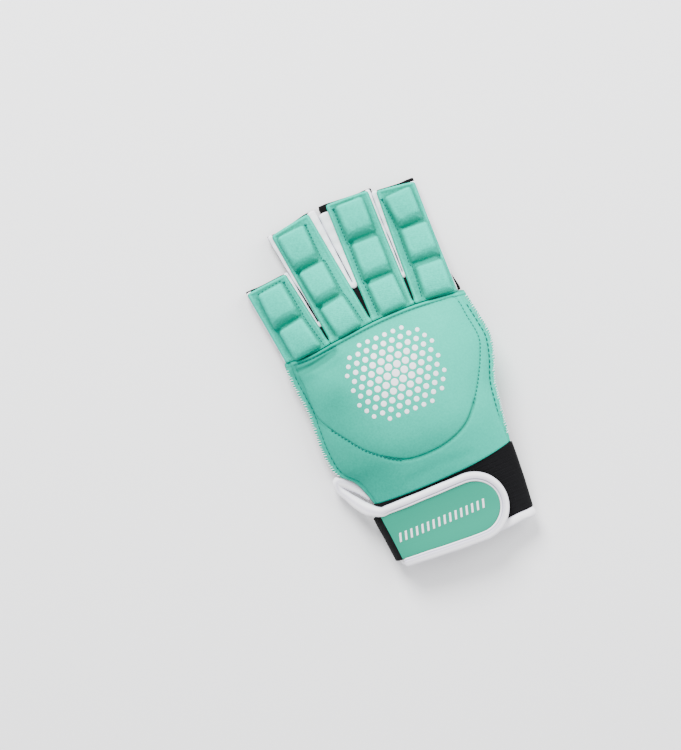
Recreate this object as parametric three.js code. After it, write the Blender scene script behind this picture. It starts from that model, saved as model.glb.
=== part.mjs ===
// A left-hand field hockey glove, lying palm down with its thumb folded under the palm.
// Millimetres. +Y points to the fingertips, +X to the thumb side and +Z up. The origin is on the
// surface that the glove lies on, under the middle of its length and width.
import * as THREE from "three";

// Clearance between pieces that are sewn together on the real glove.
const GAP = 0.35;

// Wall thicknesses.
const BACK_WALL = 3.5;
const PALM_WALL = 1.8;
const PALM_LIP = 0.3;
const SEAM_FLANGE = 1.5;
const SLEEVE_WALL = 1.4;
const CUFF_WALL = 2.5;

// Roundness of the arched sections: 2 is an ellipse, and a larger number is boxier.
const BACK_ROUNDNESS = 2.2;
const PALM_ROUNDNESS = 3.2;
const CUFF_ROUNDNESS = 2.6;
const TAPE_ROUNDNESS = 3;

// Height that the folded thumb lifts the hand by, and where that lift fades out.
const THUMB_LIFT = 13;
const LIFT_SIDE = { from: -58, to: -17 };
const LIFT_HEEL = { from: -91, to: -30 };
const LIFT_FINGERS = { from: 25, to: 85 };

// Hand shell, from the knuckles to the wrist: its side seams, the flange that stands out at them,
// the height of the seams and the height of the crown.
const HAND = [
  { y: 33, left: -54.2, right: 54.6, flange: 3, seam: 7.6, crown: 14.4 },
  { y: 24, left: -54.4, right: 56.0, flange: 3, seam: 7.9, crown: 17.2 },
  { y: 12, left: -53.4, right: 57.8, flange: 3, seam: 8.3, crown: 19.4 },
  { y: 2, left: -52.4, right: 58.8, flange: 3, seam: 8.6, crown: 20.4 },
  { y: -10, left: -53.0, right: 56.2, flange: 3, seam: 8.8, crown: 20.8 },
  { y: -24, left: -53.4, right: 51.4, flange: 3, seam: 8.8, crown: 20.8 },
  { y: -38, left: -51.4, right: 49.3, flange: 3, seam: 8.8, crown: 20.2 },
  { y: -46, left: -45.2, right: 48.2, flange: 2.4, seam: 8.8, crown: 19.6 },
  { y: -54, left: -40.8, right: 47.3, flange: 1.6, seam: 8.8, crown: 19 },
  { y: -62, left: -37.8, right: 46.3, flange: 0.8, seam: 9, crown: 18.2 },
];
// Places of the shell's sections, close together where the palm opens for the thumb.
const STATIONS = [-62, -54, -46, -39, -33, -32.2, -26, -15, -6, 1, 6.2, 7, 15, 24, 33];
const HAND_COLUMNS = 20;

// Edge at the knuckles, where the finger pads are sewn on, and edge at the wrist.
const KNUCKLE_EDGE = [
  { x: -54, y: 30.5 },
  { x: -38, y: 29.6 },
  { x: -16, y: 31.8 },
  { x: 5, y: 33.4 },
  { x: 26, y: 33.2 },
  { x: 54, y: 30.1 },
];
const WRIST_EDGE = [
  { x: -42, y: -63.7 },
  { x: 0, y: -63.4 },
  { x: 25, y: -62.1 },
  { x: 46, y: -59 },
];

// Padded shield sewn on the back of the hand: its seam, as a distance from its middle by direction.
const SHIELD = { x: 1, y: -4, thick: 3, edge: 1.1, clear: 1.1 };
const SHIELD_EDGE = [
  { angle: -180, reach: 49 },
  { angle: -150, reach: 47 },
  { angle: -120, reach: 44 },
  { angle: -90, reach: 42.5 },
  { angle: -60, reach: 41.5 },
  { angle: -30, reach: 44.5 },
  { angle: 0, reach: 50 },
  { angle: 22, reach: 52.5 },
  { angle: 34, reach: 57.5 },
  { angle: 50, reach: 46.5 },
  { angle: 72, reach: 38 },
  { angle: 90, reach: 36 },
  { angle: 110, reach: 37.2 },
  { angle: 132, reach: 45 },
  { angle: 146, reach: 57.5 },
  { angle: 162, reach: 52 },
  { angle: 180, reach: 49 },
];
const SHIELD_SPOKES = 32;
const SHIELD_RINGS = [0.12, 0.34, 0.54, 0.72, 0.86, 0.95, 1];

// Fingers: middle of the base and of the tip, both widths, the skew of the tip's edge and the foam
// blocks as [start, end] along the finger.
const FINGERS = [
  {
    name: "little", base: { x: -39.7, width: 27 }, tip: { x: -46.3, y: 75.8, width: 24.4, skew: 2 },
    blocks: [[1.5, 19], [21.5, 42]], block: 15.6,
  },
  {
    name: "ring", base: { x: -12.5, width: 25.6 }, tip: { x: -21, y: 101.4, width: 23.8, skew: 3.6 },
    blocks: [[2, 20.5], [23, 43], [45.5, 65]], block: 15.8,
  },
  {
    name: "middle", base: { x: 13.4, width: 25.2 }, tip: { x: 14.4, y: 103.1, width: 25, skew: -1.6 },
    blocks: [[2, 21], [23.5, 44.5], [47, 66]], block: 16,
  },
  {
    name: "index", base: { x: 39.2, width: 24.4 }, tip: { x: 42.4, y: 98.4, width: 22, skew: -3.6 },
    blocks: [[2, 19.5], [22, 41], [43.5, 62.5]], block: 15.6,
  },
];
const PAD = { under: 7.75, flange: 1.8, arch: 2, rise: 8 };
// Profile of a foam block along the finger: shares of its full height, and the lengths of its slopes.
const BLOCK = { base: 0.1, groove: 0.22, shoulder: 0.93, bevel: 3.2, crest: 2.4, end_bevel: 3 };
// Half of the foam's cross-section: places in half block widths, with shares of its full height.
const FOAM_SIDE = [
  { side: 1.14, rise: 0 },
  { side: 1, rise: 0.6 },
  { side: 0.8, rise: 0.94 },
];

// Black sleeve under a finger: its length past the pad's ends, the height of its rim, how far the
// rim reaches out at each side, and its section, from the rim down.
const SLEEVE = { rim: 4.6, past_tip: 1, from_knuckle: 0.9, half_gap: 0.25, reach: 4 };
const SLEEVE_SIDES = { little: 0.3, index: 2.4, index_ends: 0.2 };
const SLEEVE_OUTSIDE = [
  { inset: 0, z: SLEEVE.rim - SLEEVE_WALL },
  { inset: 3.2, z: SLEEVE.rim - SLEEVE_WALL - 0.3 },
  { inset: 4.8, z: 0.9 },
  { inset: 6.6, z: 0 },
];
const SLEEVE_INSIDE = [
  { inset: 0, z: SLEEVE.rim },
  { inset: 3.6, z: SLEEVE.rim - 0.1 },
  { inset: 5.8, z: 2.3 },
  { inset: 7.2, z: SLEEVE_WALL },
];
const SLEEVE_ROWS = 7;

// White tape that binds the edges of the finger sleeves: it runs down one finger, round the crotch
// and up the next.
const TAPE = { width: 4, height: 2.5, bottom: 4.95, spacing: 2.25, side: 2.6, past_edge: 0.6, steps: 9 };
const TAPE_ENDS = { tip: 0.5, knuckle: 1.2 };
const CROTCHES = [
  { name: "little_ring", y: 43.5 },
  { name: "ring_middle", y: 56.5 },
  { name: "middle_index", y: 51 },
];
const WEB = { width: 8, thick: 2, top_clear: 0.55, base_clear: 0.65, rows: 4, columns: 2 };

// Cuff: an elastic tube round the wrist, with a bound edge.
const CUFF = [
  { y: -58, left: -38.9, right: 46.3, height: 17 },
  { y: -70, left: -38.8, right: 46.2, height: 17.2 },
  { y: -84, left: -37.4, right: 45.8, height: 17.8 },
  { y: -104, left: -35.6, right: 44.2, height: 18.6 },
];
const CUFF_END = -97.6;
const CUFF_AROUND = 36;
// Shares of the cuff's length at its sections: the last stretch lies flat, pressed down by its sag.
const CUFF_SECTIONS = [0, 0.4, 0.82, 1];
const CUFF_SAG = 0.12;
const CUFF_TAPE = { y: -100.7, width: 5.1, wall: 3.8 };

// Wrist strap: a stadium with its round end towards the thumb, held off the cuff by the tape.
const STRAP = { middle: -84.6, half: 14, end_centre: 13.4, end_clear: 1.4, left: -36 };
const STRAP_INSIDE = 0.95;
const STRAP_ROWS = 5;
const STRAP_BASE = { offset: 1.25, wall: 1.6, wraps_to: 1.13, columns: 22 };
const STRAP_FACE = { offset: 3.2, wall: 1.2, columns: 18 };
const STRAP_TAPE = { width: 5.4, height: 4, offset: 3.3, reach: 3.2, steps: 10, short_by: 3 };
const STRAP_TAPE_TURNS = [67.5, 45, 22.5, 0, -22.5, -45, -67.5];
// The strap's tape goes on past the left of the strap, as a loose fold at the side of the wrist.
const FOLD = [
  { x: -53.4, y: -40.4, z: 7.6, width: 2.8 },
  { x: -51.8, y: -45.6, z: 8, width: 6.4 },
  { x: -49, y: -51.2, z: 8.8, width: 7.8 },
  { x: -46, y: -57.5, z: 10, width: 8.2 },
  { x: -43, y: -63.4, z: 12.2, width: 7 },
];

// Thumb: its mouth at the side of the hand, its direction, and its levels from the surface up.
const THUMB = { x: 44, y: -13, angle: 160, length: 56, mouth_half: 15, tip_half: 13 };
const THUMB_LEVELS = { flange: 4.6, inside: 6.2, lining: 11.5, top: 12.6 };
const THUMB_BLOCKS = [[3, 25], [28, 53]];
const THUMB_BLOCK_HALF = 9.5;
const THUMB_ROWS = 5;
const THUMB_RIM = THUMB_LEVELS.inside + GAP;
const THUMB_SLEEVE_INSET = 0.4;
const THUMB_SLEEVE_OUTSIDE = [
  { inset: 0, z: THUMB_RIM },
  { inset: 0.1, z: THUMB_RIM + 2.6 },
  { inset: 1.8, z: THUMB_LEVELS.top - 0.8 },
  { inset: 4, z: THUMB_LEVELS.top },
];
const THUMB_SLEEVE_INSIDE = [
  { inset: 1.4, z: THUMB_RIM },
  { inset: 1.5, z: THUMB_RIM + 2.2 },
  { inset: 2.8, z: THUMB_LEVELS.lining - 0.6 },
  { inset: 4.6, z: THUMB_LEVELS.lining },
];
// Gusset: the height where its wall starts to turn under, the share of its columns above that, and
// how far it turns at its ends and at the open mouth, in degrees.
const GUSSET = { wall: 1.9, from: -31.9, to: 5.9, rows: 12, columns: 8, turn: 14, wall_share: 0.3 };
const GUSSET_TURN = { ends: 8, mouth: 90, past_mouth: 0.4 };
const THUMB_OPENING = { flange_from: -33, from: -32.2, open_from: -26, open_to: 1, to: 6.2, flange_to: 7 };
// The palm keeps this share of its columns as they are and narrows the rest at the opening.
const PALM_KEEP = 0.6;
const PALM_NARROWING = 0.5;

const MINT = { color: 0x6fdcc2, roughness: 0.75, metalness: 0 };
const MINT_STRAP = { color: 0x4cc6a6, roughness: 0.6, metalness: 0 };
const BLACK = { color: 0x1b1b1e, roughness: 0.85, metalness: 0 };
const WHITE = { color: 0xeceaf0, roughness: 0.65, metalness: 0 };

const lerp = (a, b, t) => a + (b - a) * t;
const clamp01 = (t) => Math.min(1, Math.max(0, t));
const radians = (degrees) => (degrees * Math.PI) / 180;

function smoothStep(from, to, at) {
  const t = clamp01((at - from) / (to - from));
  return t * t * (3 - 2 * t);
}

// Reads a column of a table at a place along another column, on a smooth curve through the rows.
function read(table, along, at, column) {
  const rows = table[0][along] < table[table.length - 1][along] ? table : [...table].reverse();
  const last = rows.length - 1;
  if (at <= rows[0][along]) return rows[0][column];
  if (at >= rows[last][along]) return rows[last][column];
  let i = 0;
  while (rows[i + 1][along] < at) i++;
  const slope = (k) => {
    const before = rows[Math.max(k - 1, 0)];
    const after = rows[Math.min(k + 1, last)];
    return (after[column] - before[column]) / (after[along] - before[along]);
  };
  const span = rows[i + 1][along] - rows[i][along];
  const t = (at - rows[i][along]) / span;
  const rise = rows[i + 1][column] - rows[i][column];
  const start = slope(i) * span - rise;
  const end = rise - slope(i + 1) * span;
  return rows[i][column] + rise * t + t * (1 - t) * (start * (1 - t) + end * t);
}

// Height that the folded thumb adds at a place in plan.
function lift(x, y) {
  const side = smoothStep(LIFT_SIDE.from, LIFT_SIDE.to, x);
  const heel = smoothStep(LIFT_HEEL.from, LIFT_HEEL.to, y);
  const fingers = 1 - smoothStep(LIFT_FINGERS.from, LIFT_FINGERS.to, y);
  return THUMB_LIFT * side * heel * fingers;
}

const lifted = (x, y, z) => new THREE.Vector3(x, y, z + lift(x, y));

// Makes a closed geometry of points and quads, with its faces pointing out.
function closedGeometry(points, quads) {
  const faces = quads.flatMap(([a, b, c, d]) => [[a, b, c], [a, c, d]]);
  const volume = faces.reduce(
    (sum, [a, b, c]) => sum + points[a].dot(new THREE.Vector3().crossVectors(points[b], points[c])),
    0,
  );
  if (volume < 0) faces.forEach((face) => face.reverse());
  const geometry = new THREE.BufferGeometry().setFromPoints(points);
  geometry.setIndex(faces.flat());
  geometry.computeVertexNormals();
  return geometry;
}

// Makes a wall between two grids of points of the same size: grids are lists of rows of points.
// With ring true, each row closes on itself.
function wall(outer, inner, ring = false) {
  const rows = outer.length;
  const columns = outer[0].length;
  const points = [...outer.flat(), ...inner.flat()];
  const at = (side, row, column) => side * rows * columns + row * columns + (column % columns);
  const quads = [];
  const lastColumn = ring ? columns : columns - 1;
  for (let r = 0; r < rows - 1; r++) {
    for (let c = 0; c < lastColumn; c++) {
      quads.push([at(0, r, c), at(0, r, c + 1), at(0, r + 1, c + 1), at(0, r + 1, c)]);
      quads.push([at(1, r, c), at(1, r + 1, c), at(1, r + 1, c + 1), at(1, r, c + 1)]);
    }
  }
  for (let c = 0; c < lastColumn; c++) {
    quads.push([at(0, 0, c), at(1, 0, c), at(1, 0, c + 1), at(0, 0, c + 1)]);
    const r = rows - 1;
    quads.push([at(0, r, c), at(0, r, c + 1), at(1, r, c + 1), at(1, r, c)]);
  }
  for (let r = 0; r < rows - 1 && !ring; r++) {
    const c = columns - 1;
    quads.push([at(0, r, 0), at(0, r + 1, 0), at(1, r + 1, 0), at(1, r, 0)]);
    quads.push([at(0, r, c), at(1, r, c), at(1, r + 1, c), at(0, r + 1, c)]);
  }
  return closedGeometry(points, quads);
}

// Makes a grid by calling place(row share, column share).
function grid(rows, columns, place) {
  return Array.from({ length: rows + 1 }, (_, r) =>
    Array.from({ length: columns + 1 }, (_, c) => place(r / rows, c / columns)),
  );
}

// Point on the unit superellipse of a roundness, at an angle.
function superellipse(angle, roundness) {
  const power = 2 / roundness;
  const bend = (t) => Math.sign(t) * Math.abs(t) ** power;
  return { across: bend(Math.cos(angle)), up: bend(Math.sin(angle)) };
}

// Sweeps a flat oval band along a path of points, each with a width and a height.
function tape(path, closed = false, sides = 8) {
  const count = path.length;
  const rings = path.map((p, i) => {
    const before = path[closed ? (i - 1 + count) % count : Math.max(i - 1, 0)];
    const after = path[closed ? (i + 1) % count : Math.min(i + 1, count - 1)];
    const along = new THREE.Vector3().subVectors(after.at, before.at).normalize();
    const across = new THREE.Vector3().crossVectors(along, p.up).normalize();
    const up = new THREE.Vector3().crossVectors(across, along);
    return Array.from({ length: sides }, (_, k) => {
      const edge = superellipse((2 * Math.PI * (k + 0.5)) / sides, TAPE_ROUNDNESS);
      return p.at.clone().addScaledVector(across, (edge.across * p.width) / 2)
        .addScaledVector(up, (edge.up * p.height) / 2);
    });
  });
  const quads = [];
  for (let r = 0; r < (closed ? count : count - 1); r++) {
    for (let k = 0; k < sides; k++) {
      const next = (r + 1) % count;
      const side = (k + 1) % sides;
      quads.push([r * sides + k, r * sides + side, next * sides + side, next * sides + k]);
    }
  }
  if (!closed) {
    for (let k = 1; k < sides - 2; k += 2) {
      const end = (count - 1) * sides;
      quads.push([0, k + 2, k + 1, k]);
      quads.push([end, end + k, end + k + 1, end + k + 2]);
    }
  }
  return closedGeometry(rings.flat(), quads);
}

const glove = new THREE.Group();
function addPiece(name, geometry, finish) {
  const mesh = new THREE.Mesh(geometry, new THREE.MeshStandardMaterial(finish));
  mesh.name = name;
  glove.add(mesh);
}

// Hand shell: the section at a share of its length, and a point on it.
function handSection(share) {
  const y = lerp(HAND[HAND.length - 1].y, HAND[0].y, share);
  const section = { y };
  for (const column of ["left", "right", "flange", "seam", "crown"])
    section[column] = read(HAND, "y", y, column);
  return section;
}

function handPoint(share, x, z) {
  const y = lerp(read(WRIST_EDGE, "x", x, "y"), read(KNUCKLE_EDGE, "x", x, "y"), share);
  return lifted(x, y, z);
}

// Arch of the back of the hand; depth is 0 at its outer face and 1 at its inner face.
function backPoint(share, column, depth) {
  const s = handSection(share);
  const edge = s.seam + (1 - depth) * SEAM_FLANGE;
  if (column === 0) return handPoint(share, s.left, edge);
  if (column === HAND_COLUMNS) return handPoint(share, s.right, edge);
  const inset = s.flange + depth * BACK_WALL;
  const half = (s.right - s.left) / 2 - inset;
  const turn = superellipse(Math.PI * (1 - (column - 1) / (HAND_COLUMNS - 2)), BACK_ROUNDNESS);
  const top = s.crown - depth * BACK_WALL;
  return handPoint(share, (s.left + s.right) / 2 + half * turn.across, lerp(edge, top, turn.up));
}

// Share of the hand's length at a place in plan.
function handShare(x, y) {
  const low = read(WRIST_EDGE, "x", x, "y");
  return (y - low) / (read(KNUCKLE_EDGE, "x", x, "y") - low);
}

// Height of the outer face of the back at a place in plan, without the lift.
function backHeight(x, y) {
  const s = handSection(handShare(x, y));
  const half = (s.right - s.left) / 2 - s.flange;
  const across = clamp01(Math.abs(x - (s.left + s.right) / 2) / half);
  const up = (1 - across ** BACK_ROUNDNESS) ** (1 / BACK_ROUNDNESS);
  return lerp(s.seam + SEAM_FLANGE, s.crown, up);
}

// Shares by which the palm's flange and the side of its wall are left out at the mouth of the thumb.
function thumbOpening(y) {
  const o = THUMB_OPENING;
  const flange = smoothStep(o.flange_from, o.from, y) * (1 - smoothStep(o.to, o.flange_to, y));
  const side = smoothStep(o.from, o.open_from, y) * (1 - smoothStep(o.open_to, o.to, y));
  return { flange, side };
}

// Tray of the palm; depth is 0 at its outer face, below, and 1 at its inner face.
function palmPoint(share, column, depth) {
  const s = handSection(share);
  const edge = s.seam - GAP - (1 - depth) * SEAM_FLANGE;
  const open = thumbOpening(s.y);
  const inset = s.flange + depth * PALM_WALL;
  const half = (s.right - s.left) / 2 - inset;
  const floor = depth * PALM_WALL;
  const onArch = (turned) => {
    const turn = superellipse(Math.PI * turned, PALM_ROUNDNESS);
    return { x: (s.left + s.right) / 2 + half * turn.across, z: lerp(edge, floor, turn.up) };
  };
  if (column === 0) return handPoint(share, s.left, edge);
  const across = (Math.min(column, HAND_COLUMNS - 1) - 1) / (HAND_COLUMNS - 2);
  const past = Math.max(across - PALM_KEEP, 0);
  const kept = Math.min(across, PALM_KEEP) + past * (1 - PALM_NARROWING * open.side);
  const arch = onArch(1 - kept);
  const beyond = column === HAND_COLUMNS ? lerp(s.right - arch.x, PALM_LIP, open.flange) : 0;
  return handPoint(share, arch.x + beyond, arch.z);
}

function handShell(point) {
  const face = (depth) =>
    STATIONS.map((y) => {
      const share = (y - STATIONS[0]) / (STATIONS[STATIONS.length - 1] - STATIONS[0]);
      return Array.from({ length: HAND_COLUMNS + 1 }, (_, column) => point(share, column, depth));
    });
  return wall(face(0), face(1));
}

// Shield: a shallow dome that follows the back of the hand, thin at its sewn edge.
function shieldPanel() {
  const place = (ring, spoke, above) => {
    const angle = 360 * spoke - 180;
    const reach = ring * read(SHIELD_EDGE, "angle", angle, "reach");
    const x = SHIELD.x + reach * Math.cos(radians(angle));
    const y = SHIELD.y + reach * Math.sin(radians(angle));
    return lifted(x, y, backHeight(x, y) + above(ring));
  };
  const thickness = (ring) => lerp(SHIELD.edge, SHIELD.thick, Math.sqrt(1 - ring ** 4));
  const rings = (above) =>
    SHIELD_RINGS.map((ring) =>
      Array.from({ length: SHIELD_SPOKES }, (_, k) => place(ring, k / SHIELD_SPOKES, above)),
    );
  const under = SHIELD.clear;
  const top = rings((ring) => under + thickness(ring));
  const bottom = rings(() => under);
  const points = [
    ...top.flat(),
    ...bottom.flat(),
    place(0, 0, () => under + SHIELD.thick),
    place(0, 0, () => under),
  ];
  const size = SHIELD_RINGS.length * SHIELD_SPOKES;
  const quads = [];
  for (let k = 0; k < SHIELD_SPOKES; k++) {
    const next = (k + 1) % SHIELD_SPOKES;
    for (let r = 0; r < SHIELD_RINGS.length - 1; r++) {
      const [a, b] = [r * SHIELD_SPOKES, (r + 1) * SHIELD_SPOKES];
      quads.push([a + k, b + k, b + next, a + next]);
      quads.push([size + a + k, size + a + next, size + b + next, size + b + k]);
    }
    const edge = (SHIELD_RINGS.length - 1) * SHIELD_SPOKES;
    quads.push([edge + k, size + edge + k, size + edge + next, edge + next]);
  }
  // The middle of the dome is closed by pairs of spokes, as quads round one point.
  for (let k = 0; k < SHIELD_SPOKES; k += 2) {
    const [one, two] = [k + 1, (k + 2) % SHIELD_SPOKES];
    quads.push([2 * size, k, one, two]);
    quads.push([2 * size + 1, size + two, size + one, size + k]);
  }
  return closedGeometry(points, quads);
}

// Plan of a finger pad: share 0 is its sewn base and 1 its tip, side is -1 to 1 across it.
function fingerPlan(finger, share, side) {
  const baseX = finger.base.x + (side * finger.base.width) / 2;
  const base = { x: baseX, y: read(KNUCKLE_EDGE, "x", baseX, "y") + GAP };
  const tip = {
    x: finger.tip.x + (side * finger.tip.width) / 2,
    y: finger.tip.y + (side * finger.tip.skew) / 2,
  };
  return { x: lerp(base.x, tip.x, share), y: lerp(base.y, tip.y, share) };
}

function fingerLength(finger) {
  const base = fingerPlan(finger, 0, 0);
  return Math.hypot(finger.tip.x - base.x, finger.tip.y - base.y);
}

// X of a finger pad's edge at a y.
function fingerEdge(finger, side, y) {
  const base = fingerPlan(finger, 0, side);
  const tip = fingerPlan(finger, 1, side);
  return lerp(base.x, tip.x, (y - base.y) / (tip.y - base.y));
}

// Stations along a pad, each with its share of the foam's full height.
function padStations(blocks, length) {
  const stations = [{ at: 0, rise: BLOCK.base }];
  for (const [start, end] of blocks) {
    stations.push({ at: start, rise: BLOCK.groove }, { at: start + BLOCK.bevel, rise: BLOCK.shoulder });
    stations.push({ at: start + BLOCK.bevel + BLOCK.crest, rise: 1 });
    stations.push({ at: end - BLOCK.end_bevel, rise: 1 }, { at: end, rise: BLOCK.groove });
  }
  stations.push({ at: length, rise: 0 });
  return stations;
}

// Cross-section of a pad: places from -1 to 1 across it, with shares of the foam's full height.
function padSection(blockShare) {
  const foam = FOAM_SIDE.map(({ side, rise }) => ({ side: side * blockShare, rise }));
  const half = [{ side: 1, rise: 0 }, ...foam];
  const left = half.map(({ side, rise }) => ({ side: -side, rise }));
  return [...left, { side: 0, rise: 1 }, ...[...half].reverse()];
}

function fingerPad(finger) {
  const length = fingerLength(finger);
  const stations = padStations(finger.blocks, length);
  const face = (height) =>
    stations.map((station) => {
      const width = lerp(finger.base.width, finger.tip.width, station.at / length);
      return padSection(finger.block / width).map(({ side, rise }) => {
        const p = fingerPlan(finger, station.at / length, side);
        const arch = PAD.under + PAD.arch * (1 - side ** 2);
        return lifted(p.x, p.y, height(arch, station.rise * rise));
      });
    });
  return wall(
    face((arch, rise) => arch + PAD.flange + PAD.rise * rise),
    face((arch) => arch),
  );
}

// Middle of the gap between two fingers, and half of its width, at a y.
function fingerGap(index, y) {
  const right = fingerEdge(FINGERS[index], 1, y);
  const left = fingerEdge(FINGERS[index + 1], -1, y);
  return { middle: (left + right) / 2, half: (left - right) / 2 };
}

// Black sleeve under a finger: a trough with a rim on each side for the tape.
function fingerSleeve(index) {
  const finger = FINGERS[index];
  const first = index === 0;
  const last = index === FINGERS.length - 1;
  const rim = (side, share) => {
    const y = fingerPlan(finger, share, side).y;
    const edge = fingerEdge(finger, side, y);
    if (side < 0 && first) return edge - SLEEVE_SIDES.little * (1 - share);
    if (side > 0 && last) {
      return edge + SLEEVE_SIDES.index * (1 - smoothStep(0, SLEEVE_SIDES.index_ends, share));
    }
    return side < 0
      ? Math.max(fingerGap(index - 1, y).middle + SLEEVE.half_gap, edge - SLEEVE.reach)
      : Math.min(fingerGap(index, y).middle - SLEEVE.half_gap, edge + SLEEVE.reach);
  };
  const start = SLEEVE.from_knuckle / fingerLength(finger);
  const end = 1 + SLEEVE.past_tip / fingerLength(finger);
  const face = (profile) =>
    grid(SLEEVE_ROWS, 1, (r) => lerp(start, end, r)).map(([share]) => {
      const point = (side, { inset, z }) => {
        const p = fingerPlan(finger, share, side);
        return lifted(rim(side, share) - side * inset, p.y, z);
      };
      const left = profile.map((row) => point(-1, row));
      const right = [...profile].reverse().map((row) => point(1, row));
      return [...left, ...right];
    });
  return wall(face(SLEEVE_OUTSIDE), face(SLEEVE_INSIDE));
}

// Path of the tape along one edge of a finger, from the tip to a y.
function tapeLeg(place, fromY, toY) {
  return Array.from({ length: TAPE.steps + 1 }, (_, i) => {
    const y = lerp(fromY, toY, i / TAPE.steps);
    return { x: place(y), y };
  });
}

function tapePath(plan) {
  return plan.map((p) => ({
    at: lifted(p.x, p.y, TAPE.bottom + TAPE.height / 2),
    up: new THREE.Vector3(0, 0, 1),
    width: TAPE.width,
    height: TAPE.height,
  }));
}

function crotchTape(index) {
  const { y: crotchY } = CROTCHES[index];
  const legOffset = (y) => Math.max(TAPE.spacing, fingerGap(index, y).half - TAPE.side);
  const legX = (side) => (y) => fingerGap(index, y).middle + side * legOffset(y);
  const tipY = (finger, side) => fingerPlan(finger, 1, side).y - TAPE_ENDS.tip;
  const down = tapeLeg(legX(-1), tipY(FINGERS[index], 1), crotchY + TAPE.spacing);
  const up = tapeLeg(legX(1), crotchY + TAPE.spacing, tipY(FINGERS[index + 1], -1));
  const bend = [-135, -90, -45].map((degrees) => ({
    x: fingerGap(index, crotchY).middle + TAPE.spacing * Math.cos(radians(degrees)),
    y: crotchY + TAPE.spacing + TAPE.spacing * Math.sin(radians(degrees)),
  }));
  return tape(tapePath([...down, ...bend, ...up]), false, 6);
}

function outerTape(finger, side) {
  const place = (y) => fingerEdge(finger, side, y) - side * (TAPE.width / 2 - TAPE.past_edge);
  const from = fingerPlan(finger, 1, side).y - TAPE_ENDS.tip;
  const to = fingerPlan(finger, 0, side).y + TAPE_ENDS.knuckle;
  return tape(tapePath(tapeLeg(place, from, to)), false, 6);
}

// Black web between two fingers, from the crotch of the tape down to the knuckles.
function fingerWeb(index) {
  const { y: crotchY } = CROTCHES[index];
  const top = crotchY - TAPE.width / 2 - WEB.top_clear;
  const face = (z) =>
    grid(WEB.rows, WEB.columns, (r, c) => {
      const baseX = fingerGap(index, crotchY).middle;
      const y = lerp(read(KNUCKLE_EDGE, "x", baseX, "y") + WEB.base_clear, top, r);
      return lifted(fingerGap(index, y).middle + (c - 0.5) * WEB.width, y, z);
    });
  return wall(face(TAPE.bottom + WEB.thick), face(TAPE.bottom));
}

// Cuff: point on its outline at an angle, grown outwards by an offset.
function cuffSection(y) {
  const s = { left: read(CUFF, "y", y, "left"), right: read(CUFF, "y", y, "right") };
  return { ...s, height: read(CUFF, "y", y, "height") };
}

function cuffPoint(angle, y, offset) {
  const s = cuffSection(y);
  const turn = superellipse(angle, CUFF_ROUNDNESS);
  const x = (s.left + s.right) / 2 + ((s.right - s.left) / 2 + offset) * turn.across;
  return { x, z: s.height / 2 + (s.height / 2 + offset) * turn.up };
}

// Height of the cuff's upper side at a place in plan, grown outwards by an offset.
function cuffHeight(x, y, offset) {
  const s = cuffSection(y);
  const share = clamp01(Math.abs(x - (s.left + s.right) / 2) / ((s.right - s.left) / 2 + offset));
  const up = (1 - share ** CUFF_ROUNDNESS) ** (1 / CUFF_ROUNDNESS);
  return s.height / 2 + (s.height / 2 + offset) * up;
}

function cuffBand() {
  const face = (offset) =>
    CUFF_SECTIONS.map((share) =>
      Array.from({ length: CUFF_AROUND }, (_, k) => {
        const angle = (2 * Math.PI * k) / CUFF_AROUND;
        const edge = read(WRIST_EDGE, "x", cuffPoint(angle, STATIONS[0], 0).x, "y") - 2 * GAP;
        const y = lerp(edge, CUFF_END, share);
        const p = cuffPoint(angle, y, offset);
        return lifted(p.x, y, Math.max(p.z - CUFF_SAG, -offset));
      }),
    );
  return wall(face(0), face(-CUFF_WALL), true);
}

function cuffTape() {
  const path = Array.from({ length: CUFF_AROUND }, (_, k) => {
    const angle = (2 * Math.PI * k) / CUFF_AROUND;
    const p = cuffPoint(angle, CUFF_TAPE.y, -CUFF_WALL / 2);
    const out = cuffPoint(angle, CUFF_TAPE.y, 0);
    const up = new THREE.Vector3(out.x - p.x, 0, out.z - p.z).normalize();
    const z = Math.max(p.z, CUFF_TAPE.wall / 2);
    const at = new THREE.Vector3(p.x, CUFF_TAPE.y, z + lift(p.x, CUFF_TAPE.y));
    return { at, up, width: CUFF_TAPE.width, height: CUFF_TAPE.wall };
  });
  return tape(path, true, 6);
}

// Upper and lower edges of the strap at an x, inside its tape.
function strapHalf(x) {
  const past = Math.max(0, x - STRAP.end_centre) / STRAP.half;
  return STRAP.half * Math.sqrt(Math.max(0, 1 - past ** 2));
}

// Band of the strap over the cuff, from its round end to an angle round the wrist.
function strapBand({ offset, wall: thick, columns }, toAngle) {
  const fromAngle = strapEnd({ offset, wall: thick });
  const face = (out) =>
    grid(STRAP_ROWS, columns, (r, c) => {
      const angle = lerp(fromAngle, toAngle, c);
      const x = cuffPoint(angle, STRAP.middle, offset + thick).x;
      const y = STRAP.middle + strapHalf(x) * (1 - 2 * r) * STRAP_INSIDE;
      const p = cuffPoint(angle, y, out);
      return lifted(p.x, y, p.z);
    });
  return wall(face(offset + thick), face(offset));
}

// Angle round the cuff at which its upper side has an x.
function cuffAngle(x, offset) {
  let [low, high] = [0, Math.PI];
  while (high - low > 1e-9) {
    const middle = (low + high) / 2;
    if (cuffPoint(middle, STRAP.middle, offset).x > x) low = middle;
    else high = middle;
  }
  return low;
}

// Angle round the cuff at which a band of the strap ends, inside the round end of its tape.
function strapEnd({ offset, wall: thick }) {
  return cuffAngle(STRAP.end_centre + STRAP.half - STRAP.end_clear, offset + thick);
}

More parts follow.
